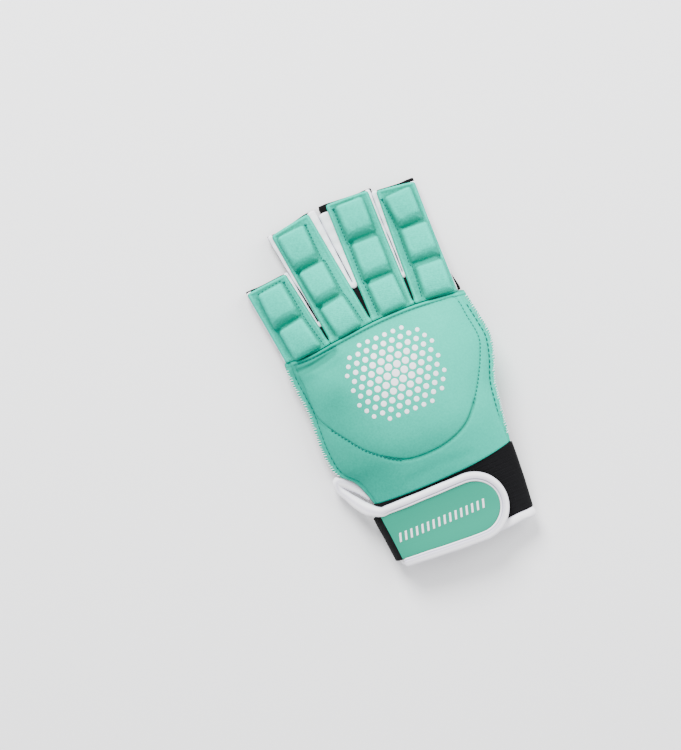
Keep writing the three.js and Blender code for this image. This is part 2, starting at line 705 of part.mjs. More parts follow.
function strapTape() {
  const reach = STRAP.half + STRAP_TAPE.reach;
  const { steps } = STRAP_TAPE;
  const straight = (fromX, toX, y) =>
    Array.from({ length: steps + 1 }, (_, i) => ({ x: lerp(fromX, toX, i / steps), y }));
  const end = STRAP_TAPE_TURNS.map((degrees) => ({
    x: STRAP.end_centre + reach * Math.cos(radians(degrees)),
    y: STRAP.middle + reach * Math.sin(radians(degrees)),
  }));
  const plan = [
    ...straight(STRAP.left, STRAP.end_centre, STRAP.middle + reach),
    ...end,
    ...straight(STRAP.end_centre, STRAP.left + STRAP_TAPE.short_by, STRAP.middle - reach),
  ];
  const onCuff = plan.map((p) => ({
    at: lifted(p.x, p.y, cuffHeight(p.x, p.y, STRAP_TAPE.offset)),
    up: new THREE.Vector3(0, 0, 1),
    width: STRAP_TAPE.width,
    height: STRAP_TAPE.height,
  }));
  const fold = FOLD.map((p) => ({
    at: lifted(p.x, p.y, p.z),
    up: new THREE.Vector3(0, 0, 1),
    width: p.width,
    height: STRAP_TAPE.height,
  }));
  return tape([...fold, ...onCuff], false, 8);
}

// Thumb: place in plan along it and across it.
function thumbPlan(along, side) {
  const direction = radians(THUMB.angle);
  const half = lerp(THUMB.mouth_half, THUMB.tip_half, along / THUMB.length);
  return {
    x: THUMB.x + along * Math.cos(direction) + side * half * Math.sin(direction),
    y: THUMB.y + along * Math.sin(direction) - side * half * Math.cos(direction),
  };
}

function thumbPad() {
  const stations = padStations(THUMB_BLOCKS, THUMB.length);
  const face = (height) =>
    stations.map((station) => {
      const half = lerp(THUMB.mouth_half, THUMB.tip_half, station.at / THUMB.length);
      return padSection(THUMB_BLOCK_HALF / half).map(({ side, rise }) => {
        const p = thumbPlan(station.at, side);
        return new THREE.Vector3(p.x, p.y, height(station.rise * rise));
      });
    });
  return wall(
    face(() => THUMB_LEVELS.inside),
    face((rise) => THUMB_LEVELS.flange * (1 - rise)),
  );
}

function thumbSleeve() {
  const face = (profile) =>
    grid(THUMB_ROWS, 1, (r) => r * THUMB.length).map(([along]) => {
      const half = lerp(THUMB.mouth_half, THUMB.tip_half, along / THUMB.length);
      const point = (side, { inset, z }) => {
        const p = thumbPlan(along, side * (1 - (inset + THUMB_SLEEVE_INSET) / half));
        return new THREE.Vector3(p.x, p.y, z);
      };
      return [
        ...profile.map((row) => point(-1, row)),
        ...[...profile].reverse().map((row) => point(1, row)),
      ];
    });
  return wall(face(THUMB_SLEEVE_OUTSIDE), face(THUMB_SLEEVE_INSIDE));
}

// Gusset: the side of the hand carried down and round under to the thumb's mouth.
function thumbGusset() {
  const slope = Math.tan(radians(180 - THUMB.angle));
  const mouth = (y) => THUMB.x + (y - THUMB.y) * slope + GUSSET_TURN.past_mouth;
  const face = (depth) =>
    grid(GUSSET.rows, GUSSET.columns, (r, c) => {
      const sectionY = lerp(GUSSET.from, GUSSET.to, r);
      const share = (sectionY - STATIONS[0]) / (STATIONS[STATIONS.length - 1] - STATIONS[0]);
      const section = handSection(share);
      const { y } = handPoint(share, section.right, 0);
      const side = section.right - GAP - depth * GUSSET.wall;
      const top = section.seam + lift(section.right, y) - 2 * GAP - SEAM_FLANGE;
      const { wall_share: wallShare } = GUSSET;
      if (c <= wallShare) return new THREE.Vector3(side, y, lerp(top, GUSSET.turn, c / wallShare));
      const most = radians(lerp(GUSSET_TURN.ends, GUSSET_TURN.mouth, thumbOpening(sectionY).side));
      const turn = ((c - wallShare) / (1 - wallShare)) * most;
      const bottom = lerp(THUMB_LEVELS.flange, THUMB_LEVELS.inside, depth);
      return new THREE.Vector3(
        mouth(y) + (side - mouth(y)) * Math.cos(turn),
        y,
        lerp(GUSSET.turn, bottom, Math.sin(turn)),
      );
    });
  return wall(face(0), face(1));
}

addPiece("back_panel", handShell(backPoint), MINT);
addPiece("shield_panel", shieldPanel(), MINT);
addPiece("palm", handShell(palmPoint), BLACK);
FINGERS.forEach((finger, index) => {
  addPiece(`finger_pad_${finger.name}`, fingerPad(finger), MINT);
  addPiece(`finger_sleeve_${finger.name}`, fingerSleeve(index), BLACK);
});
CROTCHES.forEach((crotch, index) => {
  addPiece(`finger_tape_${crotch.name}`, crotchTape(index), WHITE);
  addPiece(`finger_web_${crotch.name}`, fingerWeb(index), BLACK);
});
addPiece("finger_tape_little_side", outerTape(FINGERS[0], -1), WHITE);
addPiece("finger_tape_index_side", outerTape(FINGERS[3], 1), WHITE);
addPiece("cuff_band", cuffBand(), BLACK);
addPiece("cuff_tape", cuffTape(), WHITE);
addPiece("strap_base", strapBand(STRAP_BASE, Math.PI * STRAP_BASE.wraps_to), BLACK);
addPiece("strap_face", strapBand(STRAP_FACE, cuffAngle(STRAP.left, STRAP_FACE.offset)), MINT_STRAP);
addPiece("strap_tape", strapTape(), WHITE);
addPiece("thumb_pad", thumbPad(), MINT);
addPiece("thumb_sleeve", thumbSleeve(), BLACK);
addPiece("thumb_gusset", thumbGusset(), MINT);

export default glove;
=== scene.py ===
"""A left-hand field hockey glove, lying palm down, dressed in cloth, foam, tape and thread.

The tables hold millimetres. Meshes are made in metres. +Y points to the fingertips and +X to the
thumb side.
"""

import logging
import math
from collections.abc import Callable, Sequence
from dataclasses import dataclass
from enum import Enum

import bpy
import numpy as np
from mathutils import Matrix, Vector


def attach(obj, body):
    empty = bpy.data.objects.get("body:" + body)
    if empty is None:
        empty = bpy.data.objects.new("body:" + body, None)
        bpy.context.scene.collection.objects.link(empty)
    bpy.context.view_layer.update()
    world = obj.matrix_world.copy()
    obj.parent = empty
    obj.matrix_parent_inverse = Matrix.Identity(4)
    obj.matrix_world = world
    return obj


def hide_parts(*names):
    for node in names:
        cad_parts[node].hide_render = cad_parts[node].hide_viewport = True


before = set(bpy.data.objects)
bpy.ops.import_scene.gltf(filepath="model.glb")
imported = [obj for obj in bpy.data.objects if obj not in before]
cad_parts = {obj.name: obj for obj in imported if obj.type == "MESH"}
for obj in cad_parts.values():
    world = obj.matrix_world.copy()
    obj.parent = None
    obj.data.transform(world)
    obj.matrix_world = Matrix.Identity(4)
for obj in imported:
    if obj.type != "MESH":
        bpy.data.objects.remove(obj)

LOG = logging.getLogger("glove")
Array = np.ndarray

# A millimetre in metres, the gap left at each seam, and the body that every piece rides on.
MM = 0.001
GAP = 0.35
BODY = "root"

# Walls and flanges of the cloth.
BACK_WALL = 3.5
PALM_WALL = 1.8
PALM_LIP = 0.3
SEAM_FLANGE = 1.5
SLEEVE_WALL = 1.4
CUFF_WALL = 2.5

# Roundness of the sections: 2 is an ellipse, and more is boxier.
BACK_ROUNDNESS = 2.2
PALM_ROUNDNESS = 3.2
CUFF_ROUNDNESS = 2.6

# Painted shade on the faces inside the glove, from 0 to 1: they are given a darker tone for the shade that
# falls inside it.
HIDDEN_PAINTED_SHADE = 0.6


def lerp(a: Array | float, b: Array | float, t: Array | float) -> Array:
    """Value at a share t of the way from a to b."""
    return a + (b - a) * np.asarray(t)


def smooth_step(start: float, end: float, at: Array | float) -> Array:
    """Share of the way from start to end, eased at both ends and held to 0 and 1 outside."""
    t = np.clip((np.asarray(at, float) - start) / (end - start), 0, 1)
    return t * t * (3 - 2 * t)


def bell(at: Array | float, middle: float, width: float) -> Array:
    """A smooth bump of height 1 round middle."""
    return np.exp(-(((np.asarray(at, float) - middle) / width) ** 2))


def superellipse(angle: Array | float, roundness: float) -> tuple[Array, Array]:
    """Point on the unit superellipse at an angle: (across, up)."""
    power = 2 / roundness
    cos, sin = np.cos(angle), np.sin(angle)
    return np.sign(cos) * np.abs(cos) ** power, np.sign(sin) * np.abs(sin) ** power


def ripple(x: Array, y: Array, length: float, seed: float) -> Array:
    """A gentle uneven wave over the plan, from about -1 to 1.

    Args:
        x: Places across, in millimetres.
        y: Places along, in millimetres.
        length: Rough length of one wave.
        seed: Shifts the wave, so that two pieces differ.

    Returns:
        The height of the wave at each place.
    """
    k = 2 * math.pi / length
    total = np.zeros(np.broadcast(x, y).shape)
    for turn, stretch in ((0.4, 1.0), (1.7, 1.31), (2.9, 0.77), (4.4, 1.63)):
        along = np.cos(turn + seed) * x + np.sin(turn + seed) * y
        total = total + np.sin(k * stretch * along + 7.1 * turn + 3.3 * seed)
    return total / 3.2


class Table:
    """A short table whose columns are read on a smooth curve through its rows."""

    def __init__(self, names: str, *rows: Sequence[float]) -> None:
        """Keeps the columns.

        Args:
            names: Names of the columns. The first is the one that the others are read along.
            rows: The rows, in rising order of the first column.
        """
        self.columns = dict(zip(names.split(), np.array(rows, float).T))
        self.along = next(iter(self.columns.values()))

    def read(self, column: str, at: Array | float) -> Array:
        """Value of a column at places along the first one.

        Args:
            column: Name of the column.
            at: Places, held to the table's ends.

        Returns:
            The values.
        """
        xs, ys = self.along, self.columns[column]
        at = np.clip(np.asarray(at, float), xs[0], xs[-1])
        i = np.clip(np.searchsorted(xs, at, side="right") - 1, 0, len(xs) - 2)
        after = np.minimum(np.arange(len(xs)) + 1, len(xs) - 1)
        before = np.maximum(np.arange(len(xs)) - 1, 0)
        slope = (ys[after] - ys[before]) / (xs[after] - xs[before])
        span, rise = xs[i + 1] - xs[i], ys[i + 1] - ys[i]
        t = (at - xs[i]) / span
        start, end = slope[i] * span - rise, rise - slope[i + 1] * span
        return ys[i] + rise * t + t * (1 - t) * (start * (1 - t) + end * t)


def smooth_line(points: Sequence[Sequence[float]], count: int, closed: bool = False) -> Array:
    """Evenly spaced points on a smooth curve through points.

    Args:
        points: The points to pass through, with any number of coordinates.
        count: How many points to return.
        closed: Whether the curve closes on itself.

    Returns:
        The points, count by coordinates. A closed curve doesn't repeat its first point.
    """
    p = np.array(points, float)
    n = len(p)
    ahead = np.roll(p, -1, 0) if closed else np.vstack([p[1:], p[-1:]])
    behind = np.roll(p, 1, 0) if closed else np.vstack([p[:1], p[:-1]])
    ahead2 = np.roll(p, -2, 0) if closed else np.vstack([p[2:], p[-1:], p[-1:]])
    t = np.linspace(0, 1, 24, endpoint=False)[:, None, None]
    fine = 0.5 * (
        2 * p
        + (ahead - behind) * t
        + (2 * behind - 5 * p + 4 * ahead - ahead2) * t**2
        + (3 * p - behind - 3 * ahead + ahead2) * t**3
    )
    fine = fine.transpose(1, 0, 2)[: n if closed else n - 1].reshape(-1, p.shape[1])
    fine = np.vstack([fine, p[:1] if closed else p[-1:]])
    far = np.concatenate([[0], np.cumsum(np.linalg.norm(np.diff(fine, axis=0), axis=1))])
    at = np.linspace(0, far[-1], count, endpoint=not closed)
    return np.column_stack([np.interp(at, far, column) for column in fine.T])


def plan_distance(x: Array, y: Array, line: Array) -> Array:
    """Distance in plan from places to the nearest point of a finely stepped line."""
    places = np.column_stack([np.ravel(x), np.ravel(y)])
    near = np.full(len(places), 1e9)
    for start in range(0, len(places), 4000):
        part = places[start : start + 4000]
        gaps = part[:, None, :] - line[None, :, :2]
        near[start : start + 4000] = np.sqrt((gaps**2).sum(2).min(1))
    return near.reshape(np.broadcast(x, y).shape)


def softened(grid: Array, passes: int) -> Array:
    """A grid of points with its corners rounded, and its border left in place.

    Args:
        grid: Points, rows by columns by 3.
        passes: How often each point is moved towards its neighbours.

    Returns:
        The rounded grid.
    """
    soft = grid.copy()
    for _ in range(passes):
        around = soft[:-2, 1:-1] + soft[2:, 1:-1] + soft[1:-1, :-2] + soft[1:-1, 2:]
        soft[1:-1, 1:-1] = 0.5 * soft[1:-1, 1:-1] + 0.125 * around
        soft[[0, -1], 1:-1] = 0.5 * soft[[0, -1], 1:-1] + 0.25 * (soft[[0, -1], :-2] + soft[[0, -1], 2:])
        soft[1:-1, [0, -1]] = 0.5 * soft[1:-1, [0, -1]] + 0.25 * (soft[:-2, [0, -1]] + soft[2:, [0, -1]])
    return soft


def unit(vectors: Array) -> Array:
    """Vectors at length 1, along the last axis."""
    return vectors / np.maximum(np.linalg.norm(vectors, axis=-1, keepdims=True), 1e-9)


def outside_box(
    u: Array, v: Array, half: tuple[Array | float, Array | float], corner: float,
) -> Array:
    """Distance outside a flat box with rounded corners, below 0 inside it.

    Args:
        u: Places across, from the middle of the box.
        v: Places along, from the middle of the box.
        half: Half of its width and half of its length.
        corner: Radius of its corners.

    Returns:
        The distances.
    """
    past_u, past_v = np.abs(u) - (half[0] - corner), np.abs(v) - (half[1] - corner)
    beyond = np.hypot(np.maximum(past_u, 0), np.maximum(past_v, 0))
    return beyond + np.minimum(np.maximum(past_u, past_v), 0) - corner


def loop_faces(first: Array, second: Array) -> Array:
    """Faces between closed loops of points and the loops that follow them, by the points' numbers."""
    return np.stack([first, second, np.roll(second, -1, 1), np.roll(first, -1, 1)], -1).reshape(-1, 4)


class Mesh:
    """Points and faces of one piece, in millimetres, with the painted shade of each point: how far its colour
    is drawn towards the finish's darker, shaded colour.
    """

    def __init__(self, name: str) -> None:
        """Starts an empty mesh of a name."""
        self.name = name
        self.points: list[Array] = []
        self.painted_shades: list[Array] = []
        self.faces: list[list[int]] = []
        self.count = 0

    def add(self, points: Array, faces: Sequence[Array], painted_shade: Array | float = 0.0) -> None:
        """Adds one closed body, with its faces turned outwards.

        Args:
            points: Its points, one a row.
            faces: Arrays of faces, each with three or more columns.
            painted_shade: Painted shade of each point, from 0 to 1, drawn darker where shade falls in creases
                and grooves.
        """
        volume = 0.0
        for part in faces:
            for k in range(1, part.shape[1] - 1):
                a, b, c = points[part[:, 0]], points[part[:, k]], points[part[:, k + 1]]
                volume += float((a * np.cross(b, c)).sum())
        for part in faces:
            turned = part if volume > 0 else part[:, ::-1]
            self.faces.extend((turned + self.count).tolist())
        self.points.append(points)
        self.painted_shades.append(np.broadcast_to(np.asarray(painted_shade, float), (len(points),)))
        self.count += len(points)

    def build(self) -> bpy.types.Object:
        """Makes the Blender object of what was added."""
        mesh = bpy.data.meshes.new(self.name)
        mesh.from_pydata((np.concatenate(self.points) * MM).tolist(), [], self.faces)
        mesh.polygons.foreach_set("use_smooth", [True] * len(mesh.polygons))
        # The painted shade goes to the material as a point attribute.
        painted_shade = mesh.attributes.new("painted_shade", "FLOAT", "POINT")
        painted_shade.data.foreach_set("value", np.concatenate(self.painted_shades).astype(np.float32))
        mesh.update()
        piece = bpy.data.objects.new(self.name, mesh)
        bpy.context.scene.collection.objects.link(piece)
        return piece


def shell(
    mesh: Mesh, outer: Array, inner: Array, ring: bool = False, painted_shade: Array | float = 0.0,
    bulge: float = 0.3,
) -> None:
    """Adds a wall between two grids of points, with rounded rims.

    Args:
        mesh: Mesh to add it to.
        outer: Outer face, rows by columns by 3.
        inner: Inner face, of the same size.
        ring: Whether each row closes on itself.
        painted_shade: Painted shade of the outer face's points, rows by columns.
        bulge: How far the rims stand out, as a share of the wall's thickness.
    """
    rows, columns = outer.shape[:2]
    index = np.arange(rows * columns).reshape(rows, columns)
    along = np.hstack([index, index[:, :1]]) if ring else index
    face = np.stack([along[:-1, :-1], along[:-1, 1:], along[1:, 1:], along[1:, :-1]], -1).reshape(-1, 4)
    size = rows * columns
    faces = [face, face[:, ::-1] + size]
    points = [outer.reshape(-1, 3), inner.reshape(-1, 3)]
    # The inner face gets the painted shade of the hidden faces, and each rim that of its outer edge.
    painted_shades = [np.broadcast_to(painted_shade, (rows, columns)).ravel(), np.full(size, HIDDEN_PAINTED_SHADE)]
    if ring:
        loops = [(index[0], index[1], 1), (index[-1], index[-2], -1)]
    else:
        around = np.concatenate([index[0], index[1:, -1], index[-1, -2::-1], index[-2:0:-1, 0]])
        inward = np.concatenate([index[1], index[1:, -2], index[-2, -2::-1], index[-2:0:-1, 1]])
        loops = [(around, inward, 1)]
    flat_out, flat_in = points[0], points[1]
    count = 2 * size
    for edge, inside, turn in loops:
        thick = np.linalg.norm(flat_out[edge] - flat_in[edge], axis=1, keepdims=True)
        out = unit((flat_out[edge] + flat_in[edge]) - (flat_out[inside] + flat_in[inside]))
        middle = (flat_out[edge] + flat_in[edge]) / 2 + out * thick * bulge
        points.append(middle)
        painted_shades.append(np.broadcast_to(painted_shades[0][edge], (len(edge),)))
        rim = count + np.arange(len(edge))
        nxt, rim_next = np.roll(edge, -1), np.roll(rim, -1)
        strip = np.vstack([
            np.stack([edge, rim, rim_next, nxt], -1),
            np.stack([rim, edge + size, nxt + size, rim_next], -1),
        ])
        faces.append(strip if turn > 0 else strip[:, ::-1])
        count += len(edge)
    mesh.add(np.concatenate(points), faces, np.concatenate(painted_shades))


def band(
    mesh: Mesh, path: Array, width: Array | float, height: Array | float, up: Array | None = None,
    closed: bool = False, sides: int = 18, roundness: float = 2.5,
    groove: Callable[[Array, Array], Array] | None = None,
    tone: Callable[[Array], Array] | None = None,
) -> None:
    """Adds a soft flat tape swept along a path, with rounded ends.

    Args:
        mesh: Mesh to add it to.
        path: Middle of the tape, points by 3.
        width: Width at each point.
        height: Height at each point.
        up: Direction of the tape's upper side, points by 3. None is straight up.
        closed: Whether the path closes on itself.
        sides: Points round the section.
        roundness: Roundness of the section: 2 is an ellipse.
        groove: Gives how far the surface sinks, from the share along and the angle round.
        tone: Gives the painted shade of the surface, from the angle round.
    """
    n = len(path)
    width = np.broadcast_to(width, (n,)).astype(float)
    height = np.broadcast_to(height, (n,)).astype(float)
    up = np.broadcast_to(np.array([0.0, 0, 1]) if up is None else up, (n, 3))
    ahead = np.roll(path, -1, 0) if closed else np.vstack([path[1:], path[-1:]])
    behind = np.roll(path, 1, 0) if closed else np.vstack([path[:1], path[:-1]])
    along = unit(ahead - behind)
    across = unit(np.cross(along, up))
    lifted = np.cross(across, along)
    scale = np.ones(n)
    if not closed:
        cap = np.array([0.35, 0.72, 0.93])
        reach = 0.5 * np.sqrt(1 - cap**2)[:, None]
        lead = path[0] - along[0] * reach * height[0]
        trail = path[-1] + along[-1] * reach[::-1] * height[-1]
        path = np.vstack([lead, path, trail])
        scale = np.concatenate([cap, scale, cap[::-1]])
        held = np.concatenate([[0] * len(cap), np.arange(n), [n - 1] * len(cap)])
        width, height, across, lifted = width[held], height[held], across[held], lifted[held]
        n = len(held)
    angle = 2 * np.pi * (np.arange(sides) + 0.5) / sides
    side, rise = superellipse(angle, roundness)
    sink = np.zeros((n, sides))
    if groove is not None:
        sink = groove(np.linspace(0, 1, n)[:, None], angle[None, :])
    scale = scale[:, None, None]
    rings = (
        path[:, None, :]
        + across[:, None, :] * (side[None, :, None] * (width[:, None, None] / 2 - sink[..., None])) * scale
        + lifted[:, None, :] * (rise[None, :, None] * (height[:, None, None] / 2 - sink[..., None])) * scale
    )
    index = np.arange(n * sides).reshape(n, sides)
    if closed:
        faces = [loop_faces(index, np.roll(index, -1, 0))]
    else:
        faces = [loop_faces(index[:-1], index[1:]), index[:1], index[-1:, ::-1]]
    # Painted shade: the tape's rounded sides, or what tone gives, and any groove are drawn darker for the
    # shade that falls there.
    painted_shade = 0.55 * np.abs(side) ** 5 if tone is None else tone(angle)
    mesh.add(rings.reshape(-1, 3), faces, np.clip(sink * 1.6 + painted_shade[None, :], 0, 1).ravel())


def threads(mesh: Mesh, centres: Array, across: Array, up: Array, radius: float) -> None:
    """Adds many short threads at once.

    Args:
        mesh: Mesh to add them to.
        centres: Middle line of each thread, threads by steps by 3.
        across: Sideways direction of each thread, threads by 3.
        up: Upward direction along each thread, threads by steps by 3.
        radius: Radius of the thread.
    """
    steps, corners = centres.shape[1], 6
    t = np.linspace(-1, 1, steps)
    taper = np.sqrt(1 - 0.88 * t**4) * radius
    angle = 2 * np.pi * np.arange(corners) / corners
    ring = (
        centres[:, :, None, :]
        + across[:, None, None, :] * (np.cos(angle)[None, None, :, None] * taper[None, :, None, None])
        + up[:, :, None, :] * (np.sin(angle)[None, None, :, None] * taper[None, :, None, None])
    )
    index = np.arange(steps * corners).reshape(steps, corners)
    faces = [loop_faces(index[:-1], index[1:]), index[:1], index[-1:, ::-1]]
    for one in ring:
        mesh.add(one.reshape(-1, 3), faces)


def stitch_row(
    mesh: Mesh, line: Array, surface: Callable[[Array, Array], Array], length: float, pitch: float,
    radius: float, arch: float = 0.25,
) -> None:
    """Adds a row of stitches on a surface, along a line in plan.

    Args:
        mesh: Mesh to add them to.
        line: The line, points by 2.
        surface: Gives the surface's height at places in plan.
        length: Length of a stitch.
        pitch: Distance from one stitch to the next.
        radius: Radius of the thread.
        arch: How far the middle of a stitch stands above its ends.
    """
    far = np.concatenate([[0], np.cumsum(np.linalg.norm(np.diff(line, axis=0), axis=1))])
    middles = np.arange(length / 2, far[-1] - length / 2, pitch)
    if not len(middles):
        return
    t = np.linspace(-1, 1, 7)
    at = middles[:, None] + t[None, :] * length / 2
    x, y = np.interp(at, far, line[:, 0]), np.interp(at, far, line[:, 1])
    z = surface(x, y) + arch * (1 - t[None, :] ** 2) - radius * 0.35
    centres = np.stack([x, y, z], -1)
    along = unit(centres[:, -1] - centres[:, 0])
    across = unit(np.cross(along, np.array([0.0, 0, 1])))
    up = np.broadcast_to(np.cross(across, along)[:, None, :], centres.shape)
    threads(mesh, centres, across, up, radius)


class Colour(Enum):
    """Colours of the glove and of the floor, as sRGB hex numbers. The second colour of a finish is a darker,
    shaded copy of the first: painted shade, and one end of the finish's random mottle.
    """

    MINT = 0x00BFA4
    # Darker, shaded copy of the mint: painted shade in creases and grooves, and one end of its mottle.
    MINT_SHADE_AND_MOTTLE = 0x008D78
    FOAM_MINT = 0x00C4AA
    STRAP = 0x008F74
    # Darker, shaded copy of the strap: painted shade along its edges, and one end of its mottle.
    STRAP_SHADE_AND_MOTTLE = 0x007E66
    WHITE = 0xF8F7FB
    # Lavender, shaded copy of the white: painted shade on the tapes' sides and grooves, and one end of their
    # mottle.
    WHITE_SHADE_AND_MOTTLE = 0xAFA9C4
    BLACK = 0x0E0E10
    # Darker copy of the black: painted shade on inner faces, and one end of its mottle.
    BLACK_SHADE_AND_MOTTLE = 0x060607
    TEAL_THREAD = 0x005F57
    INK = 0xF4F1F6
    # Greyer copy of the ink: one end of its mottle, and painted shade on its hidden faces.
    INK_SHADE_AND_MOTTLE = 0xE0DBE6
    FLOOR = 0xFAFAFB

    def linear(self) -> tuple[float, float, float, float]:
        """The colour as linear red, green, blue and alpha."""
        parts = [(self.value >> shift & 255) / 255 for shift in (16, 8, 0)]
        linear = [p / 12.92 if p <= 0.04045 else ((p + 0.055) / 1.055) ** 2.4 for p in parts]
        return (*linear, 1.0)


class Wiring:
    """Short calls to fill a node tree."""

    def __init__(self, tree: bpy.types.NodeTree) -> None:
        """Works on a node tree."""
        self.tree = tree

    def add(self, kind: str, inputs: dict | None = None, **settings: object) -> bpy.types.Node:
        """Adds a node.

        Args:
            kind: Type of the node, without ShaderNode.
            inputs: Values or sockets for its inputs, by name or number.
            settings: Values for its properties.

        Returns:
            The node.
        """
        node = self.tree.nodes.new(kind if kind.startswith("Node") else "ShaderNode" + kind)
        for key, value in settings.items():
            setattr(node, key, value)
        for key, value in (inputs or {}).items():
            if isinstance(value, bpy.types.NodeSocket):
                self.tree.links.new(value, node.inputs[key])
            else:
                node.inputs[key].default_value = value
        return node

    def sum(self, operation: str, *values: object) -> bpy.types.NodeSocket:
        """Output of a Math node on some values or sockets."""
        return self.add("Math", dict(enumerate(values)), operation=operation).outputs[0]

    def blend(self, share: object, a: object, b: object) -> bpy.types.NodeSocket:
        """Colour between a and b at a share."""
        node = self.add("Mix", data_type="RGBA")
        for number, value in ((0, share), (6, a), (7, b)):
            if isinstance(value, bpy.types.NodeSocket):
                self.tree.links.new(value, node.inputs[number])
            else:
                node.inputs[number].default_value = value
        return node.outputs[2]


class Effect:
    """Shader node groups that several finishes share, each built once."""

    made: dict[str, bpy.types.NodeTree] = {}

    @classmethod
    def start(
        cls, name: str, inputs: dict[str, str], outputs: dict[str, str],
    ) -> tuple[bpy.types.NodeTree, Wiring, bpy.types.Node, bpy.types.Node]:
        """Starts a group.

        Args:
            name: Name of the group.
            inputs: Its inputs, as names with their socket types.
            outputs: Its outputs, likewise.

        Returns:
            The group, its wiring, its input node and its output node.
        """
        tree = bpy.data.node_groups.new(name, "ShaderNodeTree")
        for side, sockets in (("INPUT", inputs), ("OUTPUT", outputs)):
            for socket, kind in sockets.items():
                tree.interface.new_socket(socket, in_out=side, socket_type="NodeSocket" + kind)
        wiring = Wiring(tree)
        return tree, wiring, wiring.add("NodeGroupInput"), wiring.add("NodeGroupOutput")

    @classmethod
    def knit(cls) -> bpy.types.NodeTree:
        """Fine stretch knit: slanting loops in rows, with uneven yarn."""
        if "knit" not in cls.made:
            tree, w, given, out = cls.start(
                "knit_loops", {"Place": "Vector", "Loops": "Float"}, {"Height": "Float"}
            )
            split = w.add("SeparateXYZ", {0: given.outputs["Place"]})
            k = given.outputs["Loops"]
            x = w.sum("MULTIPLY", w.sum("ADD", split.outputs[0], w.sum("MULTIPLY", split.outputs[2], 0.6)), k)
            y = w.sum("MULTIPLY", w.sum("ADD", split.outputs[1], w.sum("MULTIPLY", split.outputs[2], 0.7)), k)
            wale = w.sum("SINE", w.sum("ADD", x, w.sum("MULTIPLY", y, 0.35)))
            course = w.sum("SINE", w.sum("SUBTRACT", w.sum("MULTIPLY", y, 0.8), w.sum("MULTIPLY", x, 0.5)))
            noise = w.add("TexNoise", {"Vector": given.outputs["Place"], "Scale": 900.0, "Detail": 2.0})
            woven = w.sum("MULTIPLY", w.sum("MULTIPLY", wale, course), 0.5)
            rough = w.sum("MULTIPLY", w.sum("SUBTRACT", noise.outputs["Fac"], 0.5), 1.6)
            height = w.sum("ADD", w.sum("ADD", woven, rough), 0.5)
            tree.links.new(height, out.inputs["Height"])
            cls.made["knit"] = tree
        return cls.made["knit"]

    @classmethod
    def tone(cls) -> bpy.types.NodeTree:
        """Cloth colour: painted shade from its input, drawn towards the darker, shaded colour in creases and
        shaded places, with soft random patches and a fleck of yarn.
        """
        if "tone" not in cls.made:
            tree, w, given, out = cls.start(
                "cloth_tone",
                {"Place": "Vector", "Depth": "Float", "Light": "Color", "ShadeAndMottle": "Color", "Patches": "Float",
                 "Fleck": "Float"},
                {"Colour": "Color", "Worn": "Float"},
            )
            place = given.outputs["Place"]
            soft = w.add("TexNoise", {"Vector": place, "Scale": 42.0, "Detail": 3.0, "Roughness": 0.6})
            fine = w.add("TexNoise", {"Vector": place, "Scale": 950.0, "Detail": 1.0})
            patch = w.sum("MULTIPLY", w.sum("SUBTRACT", soft.outputs["Fac"], 0.5), given.outputs["Patches"])
            fleck = w.sum("MULTIPLY", w.sum("SUBTRACT", fine.outputs["Fac"], 0.5), given.outputs["Fleck"])
            # Painted shade plus the random patches and fleck give the share of the shaded colour.
            share = w.add("Clamp", {0: w.sum("ADD", w.sum("ADD", given.outputs["Depth"], patch), fleck)})
            colour = w.blend(share.outputs[0], given.outputs["Light"], given.outputs["ShadeAndMottle"])
            tree.links.new(colour, out.inputs["Colour"])
            tree.links.new(soft.outputs["Fac"], out.inputs["Worn"])
            cls.made["tone"] = tree
        return cls.made["tone"]

    @classmethod
    def grain(cls) -> bpy.types.NodeTree:
        """Pebbled grain of a coated or leather-like skin."""
        if "grain" not in cls.made:
            tree, w, given, out = cls.start(
                "pebble_grain", {"Place": "Vector", "Pebbles": "Float"}, {"Height": "Float"}
            )
            cells = w.add(
                "TexVoronoi", {"Vector": given.outputs["Place"], "Scale": given.outputs["Pebbles"]},
                feature="DISTANCE_TO_EDGE",
            )
            noise = w.add("TexNoise", {"Vector": given.outputs["Place"], "Scale": 420.0, "Detail": 4.0})
            pebble = w.sum("MINIMUM", w.sum("MULTIPLY", cells.outputs["Distance"], 3.0), 0.6)
            height = w.sum("ADD", pebble, w.sum("MULTIPLY", noise.outputs["Fac"], 0.5))
            tree.links.new(height, out.inputs["Height"])
            cls.made["grain"] = tree
        return cls.made["grain"]

    @classmethod
    def ribs(cls) -> bpy.types.NodeTree:
        """Ribs of a woven band: rows along one direction, crossed by fine yarns."""
        if "ribs" not in cls.made:
            tree, w, given, out = cls.start(
                "band_ribs", {"Place": "Vector", "Ribs": "Float", "Yarns": "Float"}, {"Height": "Float"}
            )
            split = w.add("SeparateXYZ", {0: given.outputs["Place"]})
            rib = w.sum("SINE", w.sum("MULTIPLY", split.outputs[1], given.outputs["Ribs"]))
            side = w.sum("ADD", split.outputs[0], split.outputs[2])
            yarn = w.sum("SINE", w.sum("MULTIPLY", side, given.outputs["Yarns"]))
            noise = w.add("TexNoise", {"Vector": given.outputs["Place"], "Scale": 1100.0, "Detail": 2.0})
            both = w.sum("ADD", w.sum("MULTIPLY", rib, 0.35), w.sum("MULTIPLY", yarn, 0.25))
            tree.links.new(w.sum("ADD", both, noise.outputs["Fac"]), out.inputs["Height"])
            cls.made["ribs"] = tree
        return cls.made["ribs"]


class Surface(Enum):
    """Ways in which a finish is textured."""

    KNIT = "knit"
    GRAIN = "grain"
    RIBS = "ribs"
    PLAIN = "plain"


